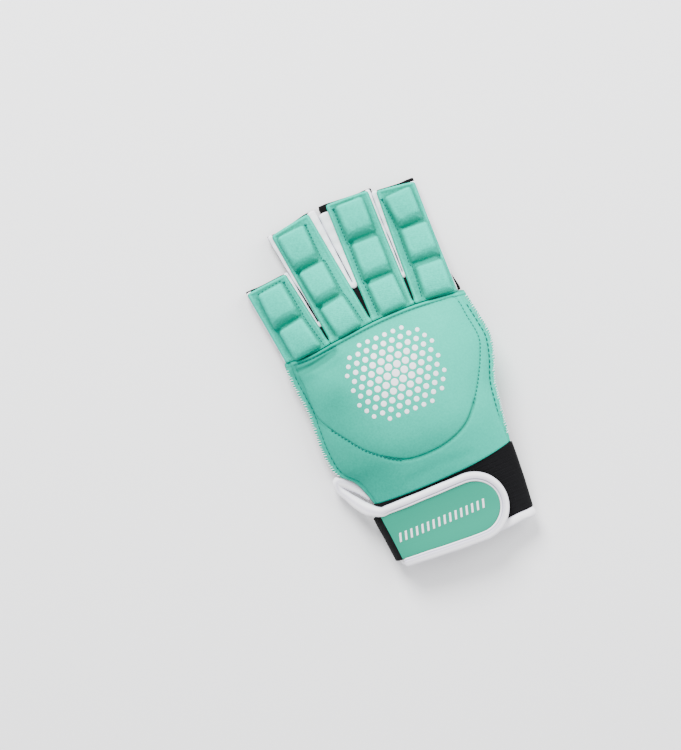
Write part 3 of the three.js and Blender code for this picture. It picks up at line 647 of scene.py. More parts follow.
@dataclass(frozen=True)
class Finish:
    """One cloth, tape, skin, thread or ink of the glove."""

    name: str
    slot: str
    light: Colour
    # Darker, shaded copy of light: painted shade, and one end of the random mottle.
    shade_and_mottle: Colour
    surface: Surface
    scale: float = 4200.0
    cross_scale: float = 4200.0
    bump: float = 0.00012
    strength: float = 0.35
    roughness: float = 0.8
    sheen: float = 0.06
    sheen_roughness: float = 0.45
    specular: float = 0.12
    patches: float = 0.25
    fleck: float = 0.25

    def material(self) -> bpy.types.Material:
        """Builds the finish's material."""
        material = bpy.data.materials.new(self.name)
        material.use_nodes = True
        w = Wiring(material.node_tree)
        shader = material.node_tree.nodes["Principled BSDF"]
        place = w.add("TexCoord").outputs["Object"]
        # The mesh's painted shade, read from its point attribute.
        painted_shade = w.add("Attribute", attribute_name="painted_shade").outputs["Fac"]
        given = {
            "Place": place, "Depth": painted_shade, "Light": self.light.linear(), "ShadeAndMottle": self.shade_and_mottle.linear(),
            "Patches": self.patches, "Fleck": self.fleck,
        }
        tone = w.add("Group", given, node_tree=Effect.tone())
        w.tree.links.new(tone.outputs["Colour"], shader.inputs["Base Color"])
        worn = w.sum("MULTIPLY", w.sum("SUBTRACT", tone.outputs["Worn"], 0.5), 0.18)
        w.tree.links.new(w.sum("ADD", worn, self.roughness), shader.inputs["Roughness"])
        shader.inputs["Sheen Weight"].default_value = self.sheen
        shader.inputs["Sheen Roughness"].default_value = self.sheen_roughness
        shader.inputs["Specular IOR Level"].default_value = self.specular
        height = self.height(w, place)
        if height is not None:
            bump = w.add("Bump", {"Height": height, "Strength": self.strength, "Distance": self.bump})
            w.tree.links.new(bump.outputs[0], shader.inputs["Normal"])
        return material

    def height(self, w: Wiring, place: bpy.types.NodeSocket) -> bpy.types.NodeSocket | None:
        """Relief of the finish, from the group of its texture.

        Args:
            w: Wiring of the material.
            place: Socket of the object's own coordinates.

        Returns:
            The socket of the height, or None for a plain finish.
        """
        if self.surface is Surface.KNIT:
            group = w.add("Group", {"Place": place, "Loops": self.scale}, node_tree=Effect.knit())
        elif self.surface is Surface.GRAIN:
            group = w.add("Group", {"Place": place, "Pebbles": self.scale}, node_tree=Effect.grain())
        elif self.surface is Surface.RIBS:
            given = {"Place": place, "Ribs": self.scale, "Yarns": self.cross_scale}
            group = w.add("Group", given, node_tree=Effect.ribs())
        else:
            return None
        return group.outputs["Height"]


class Wardrobe:
    """The glove's finishes, each made into a material once."""

    KNIT = Finish("mint_knit", "mint_fabric", Colour.MINT, Colour.MINT_SHADE_AND_MOTTLE, Surface.KNIT, scale=6800.0,
                  sheen=0.0, specular=0.08, patches=0.3, fleck=0.5)
    STRAP = Finish("mint_coated_strap", "mint_strap", Colour.STRAP, Colour.STRAP_SHADE_AND_MOTTLE, Surface.GRAIN,
                   scale=1500.0, bump=0.00005, strength=0.25, roughness=0.48, sheen=0.0, specular=0.3,
                   patches=0.2, fleck=0.15)
    FOAM = Finish("mint_foam_knit", "mint_fabric", Colour.FOAM_MINT, Colour.MINT_SHADE_AND_MOTTLE, Surface.KNIT,
                  scale=5200.0, bump=0.0002, strength=0.5, sheen=0.0, specular=0.08, patches=0.25,
                  fleck=0.9)
    TAPE = Finish("white_satin_tape", "white_binding", Colour.WHITE, Colour.WHITE_SHADE_AND_MOTTLE, Surface.RIBS,
                  scale=5200.0, cross_scale=5200.0, bump=0.00008, strength=0.3, roughness=0.5, sheen=0.1,
                  specular=0.3, patches=0.12, fleck=0.12)
    CLOTH = Finish("black_cloth", "black_fabric", Colour.BLACK, Colour.BLACK_SHADE_AND_MOTTLE, Surface.KNIT,
                   scale=5600.0, bump=0.0002, strength=0.6, roughness=0.9, sheen=0.02, patches=0.4, fleck=0.8)
    ELASTIC = Finish("black_elastic", "black_fabric", Colour.BLACK, Colour.BLACK_SHADE_AND_MOTTLE, Surface.RIBS,
                     scale=4600.0, cross_scale=7400.0, bump=0.0002, strength=0.6, roughness=0.9,
                     sheen=0.02, patches=0.4, fleck=0.8)
    PALM = Finish("black_palm_skin", "black_palm", Colour.BLACK, Colour.BLACK_SHADE_AND_MOTTLE, Surface.GRAIN,
                  scale=620.0, bump=0.0004, strength=0.7, roughness=0.6, sheen=0.0, specular=0.3,
                  patches=0.3, fleck=0.3)
    TEAL_THREAD = Finish("teal_thread", "mint_fabric", Colour.TEAL_THREAD, Colour.TEAL_THREAD, Surface.PLAIN,
                         roughness=0.6, patches=0.0, fleck=0.0)
    WHITE_THREAD = Finish("white_thread", "white_binding", Colour.WHITE, Colour.WHITE_SHADE_AND_MOTTLE, Surface.PLAIN,
                          roughness=0.6, patches=0.2, fleck=0.2)
    MINT_THREAD = Finish("mint_thread", "mint_fabric", Colour.MINT, Colour.MINT_SHADE_AND_MOTTLE, Surface.PLAIN,
                         roughness=0.6, patches=0.2, fleck=0.2)
    INK = Finish("white_ink", "white_binding", Colour.INK, Colour.INK_SHADE_AND_MOTTLE, Surface.GRAIN, scale=2600.0,
                 bump=0.00004, strength=0.3, roughness=0.42, sheen=0.0, specular=0.45, patches=0.25,
                 fleck=0.1)

    def __init__(self) -> None:
        """Starts with no material made."""
        self.made: dict[str, bpy.types.Material] = {}

    def dress(self, mesh: Mesh, finish: Finish, *nodes: str) -> bpy.types.Object:
        """Builds a piece, gives it its finish and places it on the frame.

        Args:
            mesh: The piece's mesh.
            finish: Its finish.
            nodes: Names of the solids that it stands for.

        Returns:
            The piece.
        """
        piece = mesh.build()
        if finish.name not in self.made:
            self.made[finish.name] = finish.material()
        piece.data.materials.append(self.made[finish.name])
        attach(piece, BODY)
        if nodes:
            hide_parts(*nodes)
        LOG.info("%s: %d faces, finish %s", piece.name, len(piece.data.polygons), finish.name)
        return piece


@dataclass
class Hand:
    """Sizes of the hand that every sub-assembly is set on."""

    thumb_lift: float = 13.0
    lift_side: tuple[float, float] = (-58.0, -17.0)
    lift_heel: tuple[float, float] = (-91.0, -30.0)
    lift_fingers: tuple[float, float] = (25.0, 85.0)
    sections: Table = Table(
        "y left right flange seam crown",
        (-62, -37.6, 46.3, 0.8, 9, 18.2), (-54, -39.8, 47.3, 1.6, 8.8, 19),
        (-46, -43.4, 48.2, 2.4, 8.8, 19.6), (-38, -51.0, 49.3, 3, 8.8, 20.2),
        (-24, -53.4, 51.4, 3, 8.8, 20.8), (-10, -53, 56.2, 3, 8.8, 20.8),
        (2, -52.4, 58.8, 3, 8.6, 20.4), (12, -53.4, 57.8, 3, 8.3, 19.4),
        (24, -54.4, 56, 3, 7.9, 17.2), (33, -54.2, 54.6, 3, 7.6, 14.4),
    )
    knuckles: Table = Table(
        "x y", (-54, 30.5), (-38, 29.6), (-16, 31.8), (5, 33.4), (26, 33.2), (54, 30.1),
    )
    wrist: Table = Table("x y", (-42, -62.0), (-20, -62.7), (0, -62.6), (25, -61.4), (46, -58.5))

    @property
    def first_y(self) -> float:
        """Y of the section at the wrist."""
        return float(self.sections.along[0])

    @property
    def last_y(self) -> float:
        """Y of the section at the knuckles."""
        return float(self.sections.along[-1])

    def lift(self, x: Array, y: Array) -> Array:
        """Height that the folded thumb adds at places in plan."""
        side, heel = smooth_step(*self.lift_side, x), smooth_step(*self.lift_heel, y)
        return self.thumb_lift * side * heel * (1 - smooth_step(*self.lift_fingers, y))

    def section(self, share: Array) -> dict[str, Array]:
        """Sizes of the hand's section at a share of its length from the wrist."""
        y = lerp(self.first_y, self.last_y, share)
        found = {name: self.sections.read(name, y) for name in ("left", "right", "flange", "seam", "crown")}
        return {"y": y, **found}

    def share_at(self, section_y: Array) -> Array:
        """Share of the hand's length at a section's own y."""
        return (section_y - self.first_y) / (self.last_y - self.first_y)

    def plan_y(self, share: Array, x: Array) -> Array:
        """Y at a share of the hand's length, between its two edges."""
        return lerp(self.wrist.read("y", x), self.knuckles.read("y", x), share)

    def share(self, x: Array, y: Array) -> Array:
        """Share of the hand's length at places in plan."""
        low = self.wrist.read("y", x)
        return (y - low) / (self.knuckles.read("y", x) - low)

    def place(self, share: Array, x: Array, z: Array) -> Array:
        """Points at a share of the hand's length, at an x and a height above the lift."""
        y = self.plan_y(share, x)
        return np.stack(np.broadcast_arrays(x, y, z + self.lift(x, y)), -1)

    def back_height(self, x: Array, y: Array) -> Array:
        """Height of the plain back of the hand at places in plan, without the lift."""
        s = self.section(self.share(x, y))
        half = (s["right"] - s["left"]) / 2 - s["flange"]
        across = np.clip(np.abs(x - (s["left"] + s["right"]) / 2) / half, 0, 1)
        up = (1 - across**BACK_ROUNDNESS) ** (1 / BACK_ROUNDNESS)
        return lerp(s["seam"] + SEAM_FLANGE, s["crown"], up)

    def back_top(self, x: Array, y: Array) -> Array:
        """Height of the plain back of the hand at places in plan, on the lift."""
        return self.back_height(x, y) + self.lift(x, y)


@dataclass
class BackOfHand:
    """Foam-backed knit back, the padded shield that is sewn on it, their print and their stitches."""

    hand: Hand
    shield_middle: tuple[float, float] = (1.0, -4.0)
    shield_edge: tuple[tuple[float, float], ...] = (
        (50.1, 24.6), (50.95, 16.3), (52.5, 2.6), (48.5, -8.9), (42.0, -20.9), (35.9, -29.7), (27.0, -39.1),
        (15.9, -44.3), (3.5, -46.4), (-10.7, -45.4), (-21.6, -40.0), (-31.3, -31.9), (-38.7, -22.3),
        (-45.8, -11.9), (-49.3, -4.0), (-50.0, 4.0), (-49.4, 14.0), (-50.0, 22.0), (-48.6, 27.3),
        (-44.0, 27.6), (-38.0, 27.5), (-27.0, 28.6), (-16.0, 29.7), (5.0, 31.3), (26.0, 31.1), (40.0, 29.8),
        (47.6, 28.9),
    )
    shield_rise: float = 2.9
    seam_rise: float = 1.1
    print_middle: tuple[float, float] = (1.3, 1.9)
    print_half: tuple[float, float] = (28.5, 26.0)
    print_pitch: float = 5.1
    print_dot: tuple[float, float] = (1.15, 2.25)
    print_roundness: float = 2.6
    seam_half: float = 0.8
    knuckle_row: float = 2.25
    little_crease: tuple[tuple[float, float], ...] = (
        (-50.5, 24.0), (-44.1, 23.4), (-38.0, 24.0), (-31.6, 25.2), (-26.0, 26.6),
    )
    wrist_fold: tuple[tuple[float, float], ...] = ((-14, -57), (4, -55), (22, -56))

    def __post_init__(self) -> None:
        """Works out the shield's outline, the crease below the little finger and the fold at the wrist."""
        self.crease = smooth_line(self.little_crease, 60)
        self.low_fold = smooth_line(self.wrist_fold, 40)
        self.outline = smooth_line(self.shield_edge, 520, closed=True)
        cx, cy = self.shield_middle
        angle = np.arctan2(self.outline[:, 1] - cy, self.outline[:, 0] - cx)
        reach = np.hypot(self.outline[:, 0] - cx, self.outline[:, 1] - cy)
        order = np.argsort(angle)
        self.angles, self.reaches = angle[order], reach[order]

    def inside(self, x: Array, y: Array) -> Array:
        """Distance inside the shield's outline, below 0 outside it."""
        cx, cy = self.shield_middle
        reach = np.interp(np.arctan2(y - cy, x - cx), self.angles, self.reaches, period=2 * np.pi)
        sign = np.where(np.hypot(x - cx, y - cy) < reach, 1.0, -1.0)
        return sign * plan_distance(x, y, self.outline)

    def shade(self, x: Array, y: Array) -> Array:
        """Painted shade: deeper tone of the knit along its left side, towards the wrist and in the crease
        below the little finger, with one darker and one lighter painted patch left of the shield.
        """
        crease = bell(plan_distance(x, y, self.crease), 0, 2.3) * smooth_step(-20, -31, x)
        low = 0.24 * smooth_step(5, -45, y) * smooth_step(45, 10, x)
        painted_patches = 0.26 * bell(np.hypot(x + 36, y - 0.5), 0, 9) - 0.28 * bell(np.hypot(x + 36, y - 17), 0, 9)
        return 1.6 * crease + 0.46 * smooth_step(35, -50, x) + low + painted_patches

    def folds(self, x: Array, y: Array) -> Array:
        """Soft creases and waves of the knit, as a height."""
        crease = plan_distance(x, y, self.crease)
        low = plan_distance(x, y, self.low_fold)
        edge = smooth_step(-48, -38, x) * (1 - smooth_step(40, 52, x))
        return (
            -1.2 * bell(crease, 0, 1.5) + 0.75 * bell(crease, 4.0, 2.2)
            - 0.2 * bell(low, 0, 2.6) + 0.1 * bell(low, 4.4, 2.6)
            + 0.16 * edge * ripple(x, y, 46, 0.2)
        )

    def plain_top(self, x: Array, y: Array) -> Array:
        """Height of the back's own outer face, outside the shield."""
        near = self.inside(x, y)
        out = np.maximum(-near, 0)
        knuckle = self.hand.knuckles.read("y", x) - y
        s = self.hand.section(self.hand.share(x, y))
        side = np.minimum(x - s["left"], s["right"] - x) - s["flange"]
        free = smooth_step(0, 5, side)
        seam = self.seam_rise * bell(out, 0, 12) * free * (1 - smooth_step(3, 0, knuckle))
        groove = 0.9 * bell(out, 0, self.seam_half) * free * smooth_step(1.5, 4, knuckle)
        groove = groove * (1 - self.stitched(x, y))
        tucked = 1.2 * smooth_step(0, 1.5, near)
        lip = 0.8 * bell(knuckle, 1.0, 0.6) - 0.5 * bell(knuckle, self.knuckle_row, 0.42)
        lip = lip - 1.3 * smooth_step(0.5, 0, knuckle)
        return self.hand.back_top(x, y) + seam - groove - tucked + (lip + self.folds(x, y)) * free

    def shield_top(self, x: Array, y: Array, near: Array | None = None) -> Array:
        """Height of the shield's outer face."""
        near = self.inside(x, y) if near is None else near
        rise = self.seam_rise + self.shield_rise * (1 - np.exp(-near / 13))
        groove = 1.7 * bell(near, 0, self.seam_half) * (1 - 0.7 * self.stitched(x, y))
        groove = groove + 0.25 * np.exp(-near / 2.5)
        gather = 0.75 * bell(plan_distance(x, y, self.crease), 0, 1.3) * smooth_step(-22, -33, x)
        return self.hand.back_top(x, y) + rise - groove - gather + self.folds(x, y)

    def top(self, x: Array, y: Array) -> Array:
        """Height of what shows, shield or back."""
        near = self.inside(x, y)
        return np.where(near > 0, self.shield_top(x, y, np.maximum(near, 0)), self.plain_top(x, y))

    def back(self, wardrobe: Wardrobe) -> None:
        """Builds the back's shell."""
        rows = np.concatenate([np.linspace(0, 0.9, 118, endpoint=False), np.linspace(0.9, 1, 34)])[:, None]
        turn = np.linspace(np.pi, 0, 150)
        s = self.hand.section(rows)
        faces = []
        for level in (0.0, 1.0):
            edge = s["seam"] + (1 - level) * SEAM_FLANGE
            inset = s["flange"] + level * BACK_WALL
            middle, half = (s["left"] + s["right"]) / 2, (s["right"] - s["left"]) / 2 - inset
            across, up = superellipse(turn[None, :], BACK_ROUNDNESS)
            x = middle + half * across
            z = lerp(edge, s["crown"] - level * BACK_WALL, up)
            arch = self.hand.place(rows, x, z)
            if level == 0:
                steep = smooth_step(0.02, 0.2, np.broadcast_to(np.abs(up), x.shape))
                wanted = self.plain_top(arch[..., 0], arch[..., 1])
                arch[..., 2] = lerp(arch[..., 2], np.maximum(wanted, arch[..., 2] - 3), steep)
            sides = []
            for limit, end in ((s["left"], x[:, :1]), (s["right"], x[:, -1:])):
                share = np.linspace(0, 1, 7)[None, :-1]
                flange_x = lerp(limit, end, share)
                roll = 0.25 * bell(share, 0.12, 0.2) - 0.35 * (share == 0)
                sides.append(self.hand.place(rows, flange_x, edge + (roll if level == 0 else 0 * roll)))
            faces.append(np.concatenate([sides[0], arch, sides[1][:, ::-1]], 1))
        x, y = faces[0][..., 0], faces[0][..., 1]
        near = np.abs(self.inside(x, y))
        knuckle = self.hand.knuckles.read("y", x) - y
        # Painted shade: darker in the shield's seam groove, in the groove of the knuckle row, at the knuckle
        # edge and where shade() puts it.
        seam = self.seam_painted_shade(x, y, near)
        painted_shade = 0.12 + seam + 0.9 * bell(knuckle, self.knuckle_row, 0.45) + self.shade(x, y)
        painted_shade = painted_shade + 0.9 * bell(knuckle, 0, 0.4)
        mesh = Mesh("back_of_hand")
        shell(mesh, faces[0], faces[1], painted_shade=np.clip(painted_shade, 0, 1))
        piece = wardrobe.dress(mesh, Wardrobe.KNIT, "back_panel")

    def shield(self, wardrobe: Wardrobe) -> None:
        """Builds the padded shield."""
        ring = 1 - (1 - np.linspace(0.03, 1, 54)) ** 2.0
        line = self.outline[::2]
        middle = np.array(self.shield_middle)
        plan = middle + (line[None] - middle) * ring[:, None, None]
        x, y = plan[..., 0], plan[..., 1]
        near = np.maximum(self.inside(x, y), 0)
        near[-1] = 0
        top = np.stack([x, y, self.shield_top(x, y, near)], -1)
        base = self.hand.back_top(x, y) - 0.95
        bottom = np.stack([x, y, np.minimum(base, top[..., 2] - 0.25)], -1)
        # Painted shade: darker in the seam groove, towards the shield's edge and where shade() puts it.
        painted_shade = 0.1 + self.seam_painted_shade(x, y, near) + 0.12 * np.exp(-near / 6) + self.shade(x, y)
        painted_shade = np.clip(painted_shade, 0, 1)
        mesh = Mesh("shield")
        count = len(line)
        size = len(ring) * count
        index = np.arange(size).reshape(len(ring), count)
        face, edge = loop_faces(index[:-1], index[1:]), loop_faces(index[-1:], index[-1:] + size)
        points = np.concatenate([top.reshape(-1, 3), bottom.reshape(-1, 3)])
        faces = [face, face[:, ::-1] + size, edge, index[:1], index[:1, ::-1] + size]
        mesh.add(points, faces, np.concatenate([painted_shade.ravel(), np.full(size, HIDDEN_PAINTED_SHADE)]))
        piece = wardrobe.dress(mesh, Wardrobe.KNIT, "shield_panel")

    def print_dots(self, wardrobe: Wardrobe) -> None:
        """Prints a plain patch of white dots on the shield, large in its middle."""
        mesh = Mesh("shield_print")
        pitch = self.print_pitch
        cx, cy = self.print_middle
        corners = 28
        angle = 2 * np.pi * np.arange(corners) / corners
        rings = np.array([0.35, 0.75, 0.96, 1.0])
        thick = np.array([0.12, 0.12, 0.09, -0.1])[:, None]
        index = np.arange((len(rings) + 1) * corners).reshape(-1, corners)
        faces = [loop_faces(index[:-1], index[1:]), index[:1], index[-1:, ::-1]]
        for row in range(-7, 8):
            for column in range(-7, 8):
                x = cx + pitch * (column + 0.5 * (row % 2))
                y = cy + pitch * row * math.sqrt(3) / 2
                u, v = (x - cx) / self.print_half[0], (y - cy) / self.print_half[1]
                far = (abs(u) ** self.print_roundness + abs(v) ** self.print_roundness) ** (
                    1 / self.print_roundness
                )
                if far > 0.97:
                    continue
                radius = float(lerp(self.print_dot[1], self.print_dot[0], far**1.5))
                px = x + radius * rings[:, None] * np.cos(angle)[None]
                py = y + radius * rings[:, None] * np.sin(angle)[None]
                z = self.shield_top(px, py)
                upper = np.stack([px, py, z + thick], -1)
                under = np.stack([px, py, z - 0.2], -1)[-1:]
                points = np.concatenate([upper.reshape(-1, 3), under.reshape(-1, 3)])
                mesh.add(points, faces, 0.2)
        wardrobe.dress(mesh, Wardrobe.INK)

    def sewing(self, wardrobe: Wardrobe) -> None:
        """Sews the shield's seam, the side seams and the raw edges."""
        teal = Mesh("back_stitches")
        x, y = self.outline.T
        right = self.outline[(x > 33) & (y < 27.5) & (y > -31)]
        left = self.outline[(x < -14) & (y < -12.5)]
        stitch_row(teal, self.inset(right[np.argsort(right[:, 1])], 0.4), self.seam_level, 1.35, 2.2, 0.22)
        stitch_row(teal, self.inset(left[np.argsort(left[:, 1])], 0.4), self.seam_level, 1.5, 2.2, 0.38)
        across = np.linspace(-50, 51, 200)
        seam = np.column_stack([across, self.hand.knuckles.read("y", across) - self.knuckle_row])
        stitch_row(teal, seam, self.plain_top, 2.1, 2.3, 0.24, arch=0.1)
        for side, shift, low in (("left", 2.9, -38), ("right", -2.6, -46)):
            share = self.hand.share_at(np.linspace(low, 27, 140))
            x = self.hand.section(share)[side] + shift
            line = np.column_stack([x, self.hand.plan_y(share, x)])
            stitch_row(teal, line, self.edge_height, 2.2, 3.1, 0.3, arch=0.3)
        wardrobe.dress(teal, Wardrobe.TEAL_THREAD)
        for name, finish, phase in (
            ("edge_thread_white", Wardrobe.WHITE_THREAD, 0), ("edge_thread_mint", Wardrobe.MINT_THREAD, 1),
        ):
            mesh = Mesh(name)
            for side, inward in (("left", 1.0), ("right", -1.0)):
                self.overlock(mesh, side, inward, phase)
            wardrobe.dress(mesh, finish)

    def inset(self, line: Array, by: float) -> Array:
        """Moves a line in plan towards the middle of the shield."""
        middle = np.array(self.shield_middle)
        return line + by * unit(middle - line)

    def stitched(self, x: Array, y: Array) -> Array:
        """How much of the shield's seam shows as stitches rather than as a groove, at places in plan."""
        right = smooth_step(32, 38, x) * smooth_step(-31, -27, y)
        left = smooth_step(-20, -24, x) * smooth_step(-12, -17, y)
        return 0.8 * right + 0.75 * left

    def seam_painted_shade(self, x: Array, y: Array, near: Array) -> Array:
        """Painted shade in the shield's seam groove where it isn't stitched, at places in plan that are near
        it by a distance.
        """
        return 0.8 * (1 - self.stitched(x, y)) * bell(near, 0, self.seam_half)

    def seam_level(self, x: Array, y: Array) -> Array:
        """Height at which stitches bridge the shield's seam."""
        return self.hand.back_top(x, y) + self.seam_rise - 0.25

    def edge_height(self, x: Array, y: Array) -> Array:
        """Height of the flange beside the arch, with the lift."""
        s = self.hand.section(self.hand.share(x, y))
        return s["seam"] + SEAM_FLANGE + 0.3 + self.hand.lift(x, y)

    def overlock(self, mesh: Mesh, side: str, inward: float, phase: int) -> None:
        """Wraps threads round the raw edge of one side of the hand.

        Args:
            mesh: Mesh to add them to.
            side: "left" or "right".
            inward: Direction from that edge to the middle of the hand, 1 or -1.
            phase: 0 for every second loop from the first, 1 for the others.
        """
        low, pitch, radius = (-38.5 if side == "left" else -56), 1.5, 0.28
        y = np.arange(low + phase * pitch / 2, 30, pitch)
        share = self.hand.share_at(y)
        edge = self.hand.section(share)
        number = np.arange(len(y))
        wobble = (0.35 * np.sin(5.1 * number + 2 * phase) + 0.2 * np.sin(2.3 * number))[:, None]
        t = np.linspace(-1, 1, 9)[None]
        reach = 1.3 + 0.75 * wobble
        x = edge[side][:, None] + inward * (reach * (1 - np.cos(t * np.pi / 2)) - 0.42)
        z = edge["seam"][:, None] + 0.45 + 1.35 * np.sin(t * np.pi / 2)
        yy = self.hand.plan_y(share[:, None], x) + 0.5 * t * (1 if phase else -1) + 0.4 * wobble
        centres = np.stack([x, yy, z + self.hand.lift(x, yy)], -1)
        across = np.broadcast_to(np.array([0.0, 1, 0]), (len(y), 3))
        along = unit(np.gradient(centres, axis=1))
        up = unit(np.cross(along, across[:, None, :]))
        threads(mesh, centres, across, up, radius)

    def build(self, wardrobe: Wardrobe) -> None:
        """Builds all of the back."""
        self.back(wardrobe)
        self.shield(wardrobe)
        self.print_dots(wardrobe)
        self.sewing(wardrobe)


@dataclass(frozen=True)
class Block:
    """One foam block, by its corners in plan."""

    tip_left: tuple[float, float]
    tip_right: tuple[float, float]
    base_right: tuple[float, float]
    base_left: tuple[float, float]

    def local(self, x: Array, y: Array) -> tuple[Array, Array, Array, float]:
        """Places in the block's own directions.

        Args:
            x: Places across, in plan.
            y: Places along, in plan.

        Returns:
            The place across, the place along towards the tip, the half width there and the half length.
        """
        corners = (self.tip_left, self.tip_right, self.base_right, self.base_left)
        tl, tr, br, bl = (np.array(corner) for corner in corners)
        middle, tip, base = (tl + tr + br + bl) / 4, (tl + tr) / 2, (bl + br) / 2
        along = unit(tip - base)
        across = np.array([along[1], -along[0]])
        half_length = float(np.linalg.norm(tip - base)) / 2
        u = (x - middle[0]) * across[0] + (y - middle[1]) * across[1]
        v = (x - middle[0]) * along[0] + (y - middle[1]) * along[1]
        share = np.clip(0.5 + 0.5 * v / half_length, 0, 1)
        half = lerp(np.linalg.norm(br - bl) / 2, np.linalg.norm(tr - tl) / 2, share)
        return u, v, half, half_length


@dataclass
class Finger:
    """A half finger: its foam pad, its sleeve and where its stitches run."""

    name: str
    base: tuple[float, float]
    tip: tuple[float, float, float, float]
    blocks: tuple[Block, ...]
    stitched_side: int
    hand: Hand
    under: float = 7.75
    flange: float = 1.8
    arch: float = 2.0
    rise: float = 8.0
    corner: float = 2.3
    spread: tuple[float, float] = (0.45, 0.7)
    shoulder: float = 2.7
    low_slope: float = 5.2
    last_slope: float = 3.0
    stitch_out: float = 1.35
    channel: float = 3.2
    tip_corner: float = 1.6
    tip_row: bool = False

    def plan(self, share: Array, side: Array) -> tuple[Array, Array]:
        """Place in plan at a share of the pad's length and a side from -1 to 1."""
        base_x = self.base[0] + side * self.base[1] / 2
        base_y = self.hand.knuckles.read("y", base_x) + GAP
        tip_x, tip_y, tip_width, skew = self.tip
        return lerp(base_x, tip_x + side * tip_width / 2, share), lerp(base_y, tip_y + side * skew / 2, share)

    def edge(self, side: float, y: Array) -> Array:
        """X of the pad's edge at a y."""
        base, tip = self.plan(0.0, side), self.plan(1.0, side)
        return lerp(base[0], tip[0], (y - base[1]) / (tip[1] - base[1]))

    @property
    def length(self) -> float:
        """Length of the pad along its middle."""
        base, tip = self.plan(0.0, 0.0), self.plan(1.0, 0.0)
        return math.hypot(tip[0] - base[0], tip[1] - base[1])

    def local(self, x: Array, y: Array) -> tuple[Array, Array]:
        """Share of the length and side, from places in plan."""
        share = np.full(np.broadcast(x, y).shape, 0.5)
        side = np.zeros_like(share)
        for _ in range(8):
            middle = lerp(self.base[0], self.tip[0], share)
            side = np.clip((x - middle) / (lerp(self.base[1], self.tip[2], share) / 2), -1, 1)
            base_y, tip_y = self.plan(0.0, side)[1], self.plan(1.0, side)[1]
            share = np.clip((y - base_y) / (tip_y - base_y), 0, 1)
        return share, side

    def foam(self, x: Array, y: Array) -> tuple[Array, Array]:
        """Height of the foam above the flange, and the painted shade of each place: darker towards each
        block's low end, at its foot and on the flanges beside it, with a painted highlight along its edges.
        """
        height = np.zeros(np.broadcast(x, y).shape)
        outside = np.full(height.shape, 99.0)
        crease = np.full(height.shape, -1.0)
        first, last = self.blocks[0], self.blocks[-1]
        strip = Block(first.tip_left, first.tip_right, last.base_right, last.base_left)
        u, v, half, half_length = strip.local(x, y)
        inset = np.minimum(half - np.abs(u), half_length - np.abs(v))
        height = self.channel * smooth_step(-0.3, 2.4, inset)
        for block in self.blocks:
            u, v, half, half_length = block.local(x, y)
            half, half_length = half + self.spread[0], half_length + self.spread[1]
            tip_end = smooth_step(0.3, 1.0, v / half_length)
            low_end = smooth_step(0.1, 1.0, -v / half_length)
            slope = self.last_slope if block is last else self.low_slope
            shoulder = self.shoulder - 0.9 * tip_end + slope * low_end
            out = outside_box(u, v, (half, half_length), self.corner)
            outside = np.minimum(outside, out)
            share = np.clip(-out / shoulder, 0, 1)
            crown = 1 - 0.08 * (u / half) ** 2 - 0.05 * (v / half_length) ** 2
            block_height = self.rise * crown * (1 - (1 - share) ** 2.5) ** (1 / 2.3)
            taller = block_height > height
            height = np.where(taller, block_height, height)
            foot = (1 - np.clip(-out / 2.4, 0, 1)) ** 3
            edge = bell(-out, 2.0, 1.1) * (1 - low_end)
            foot = foot * (1 - 0.75 * low_end) if block is last else foot
            # Painted shade and highlight: lighter towards the tip end and along the edges, darker towards the
            # low end and at the foot.
            tone = 0.16 + 0.34 * smooth_step(0.5, -0.9, v / half_length) - 0.3 * edge + 0.7 * foot
            # Painted shade: a dark band on each block's low end, above the next block.
            if block is not last:
                tone = tone + 0.9 * smooth_step(7.4 - 2.6 * (u / half - 0.15) ** 2, 3.8, half_length + v)
            crease = np.where(taller, np.clip(tone, 0, 1), crease)
        # Painted shade on the flanges beside the blocks, darkest close to them.
        beside = 0.56 + 0.44 * np.exp(-((np.maximum(outside - 0.2, 0) / 1.25) ** 2))
        crease = np.where(crease < 0, beside, crease)
        return height, np.clip(crease, 0, 1)

    def surface(self, share: Array, side: Array) -> tuple[Array, Array]:
        """Points of the pad's upper face, and their painted shade."""
        from_end = np.clip((1 - share) * self.length, 0, self.tip_corner)
        inset = self.tip_corner - np.sqrt(self.tip_corner**2 - (self.tip_corner - from_end) ** 2)
        side = side * (1 - inset / (self.tip[2] / 2))
        x, y = self.plan(share, side)
        foam, crease = self.foam(x, y)
        from_side = (1 - np.abs(side)) * lerp(self.base[1], self.tip[2], share) / 2
        from_tip = (1 - share) * self.length
        rim = np.minimum(from_side, from_tip)
        roll = 0.45 * bell(rim, 1.0, 0.75) - 0.8 * smooth_step(0.7, 0, rim)
        arch = self.under + self.arch * (1 - side**2) - 0.35 * bell(foam, 0, 0.4) * smooth_step(1.2, 3, rim)
        wave = 0.12 * ripple(x, y, 19, 0.7 + len(self.name)) * smooth_step(0.2, 2, foam)
        z = arch + self.flange + foam + roll + wave
        short = np.maximum(self.hand.back_height(x, y) + 0.3 - z, 0)
        z = z + short * smooth_step(3.6, 0.9, share * self.length) + self.hand.lift(x, y)
        # Painted highlight on the rolled rim, and painted shade at the pad's base by the knuckle seam.
        crease = crease - 0.4 * bell(rim, 1.0, 0.8) * (foam < 1.5)
        crease = crease + 0.9 * smooth_step(1.4, 0.2, share * self.length)
        return np.stack([x, y, z], -1), np.clip(crease, 0, 1)

    def top(self, x: Array, y: Array) -> Array:
        """Height of the pad's upper face at places in plan."""
        return self.surface(*self.local(x, y))[0][..., 2]

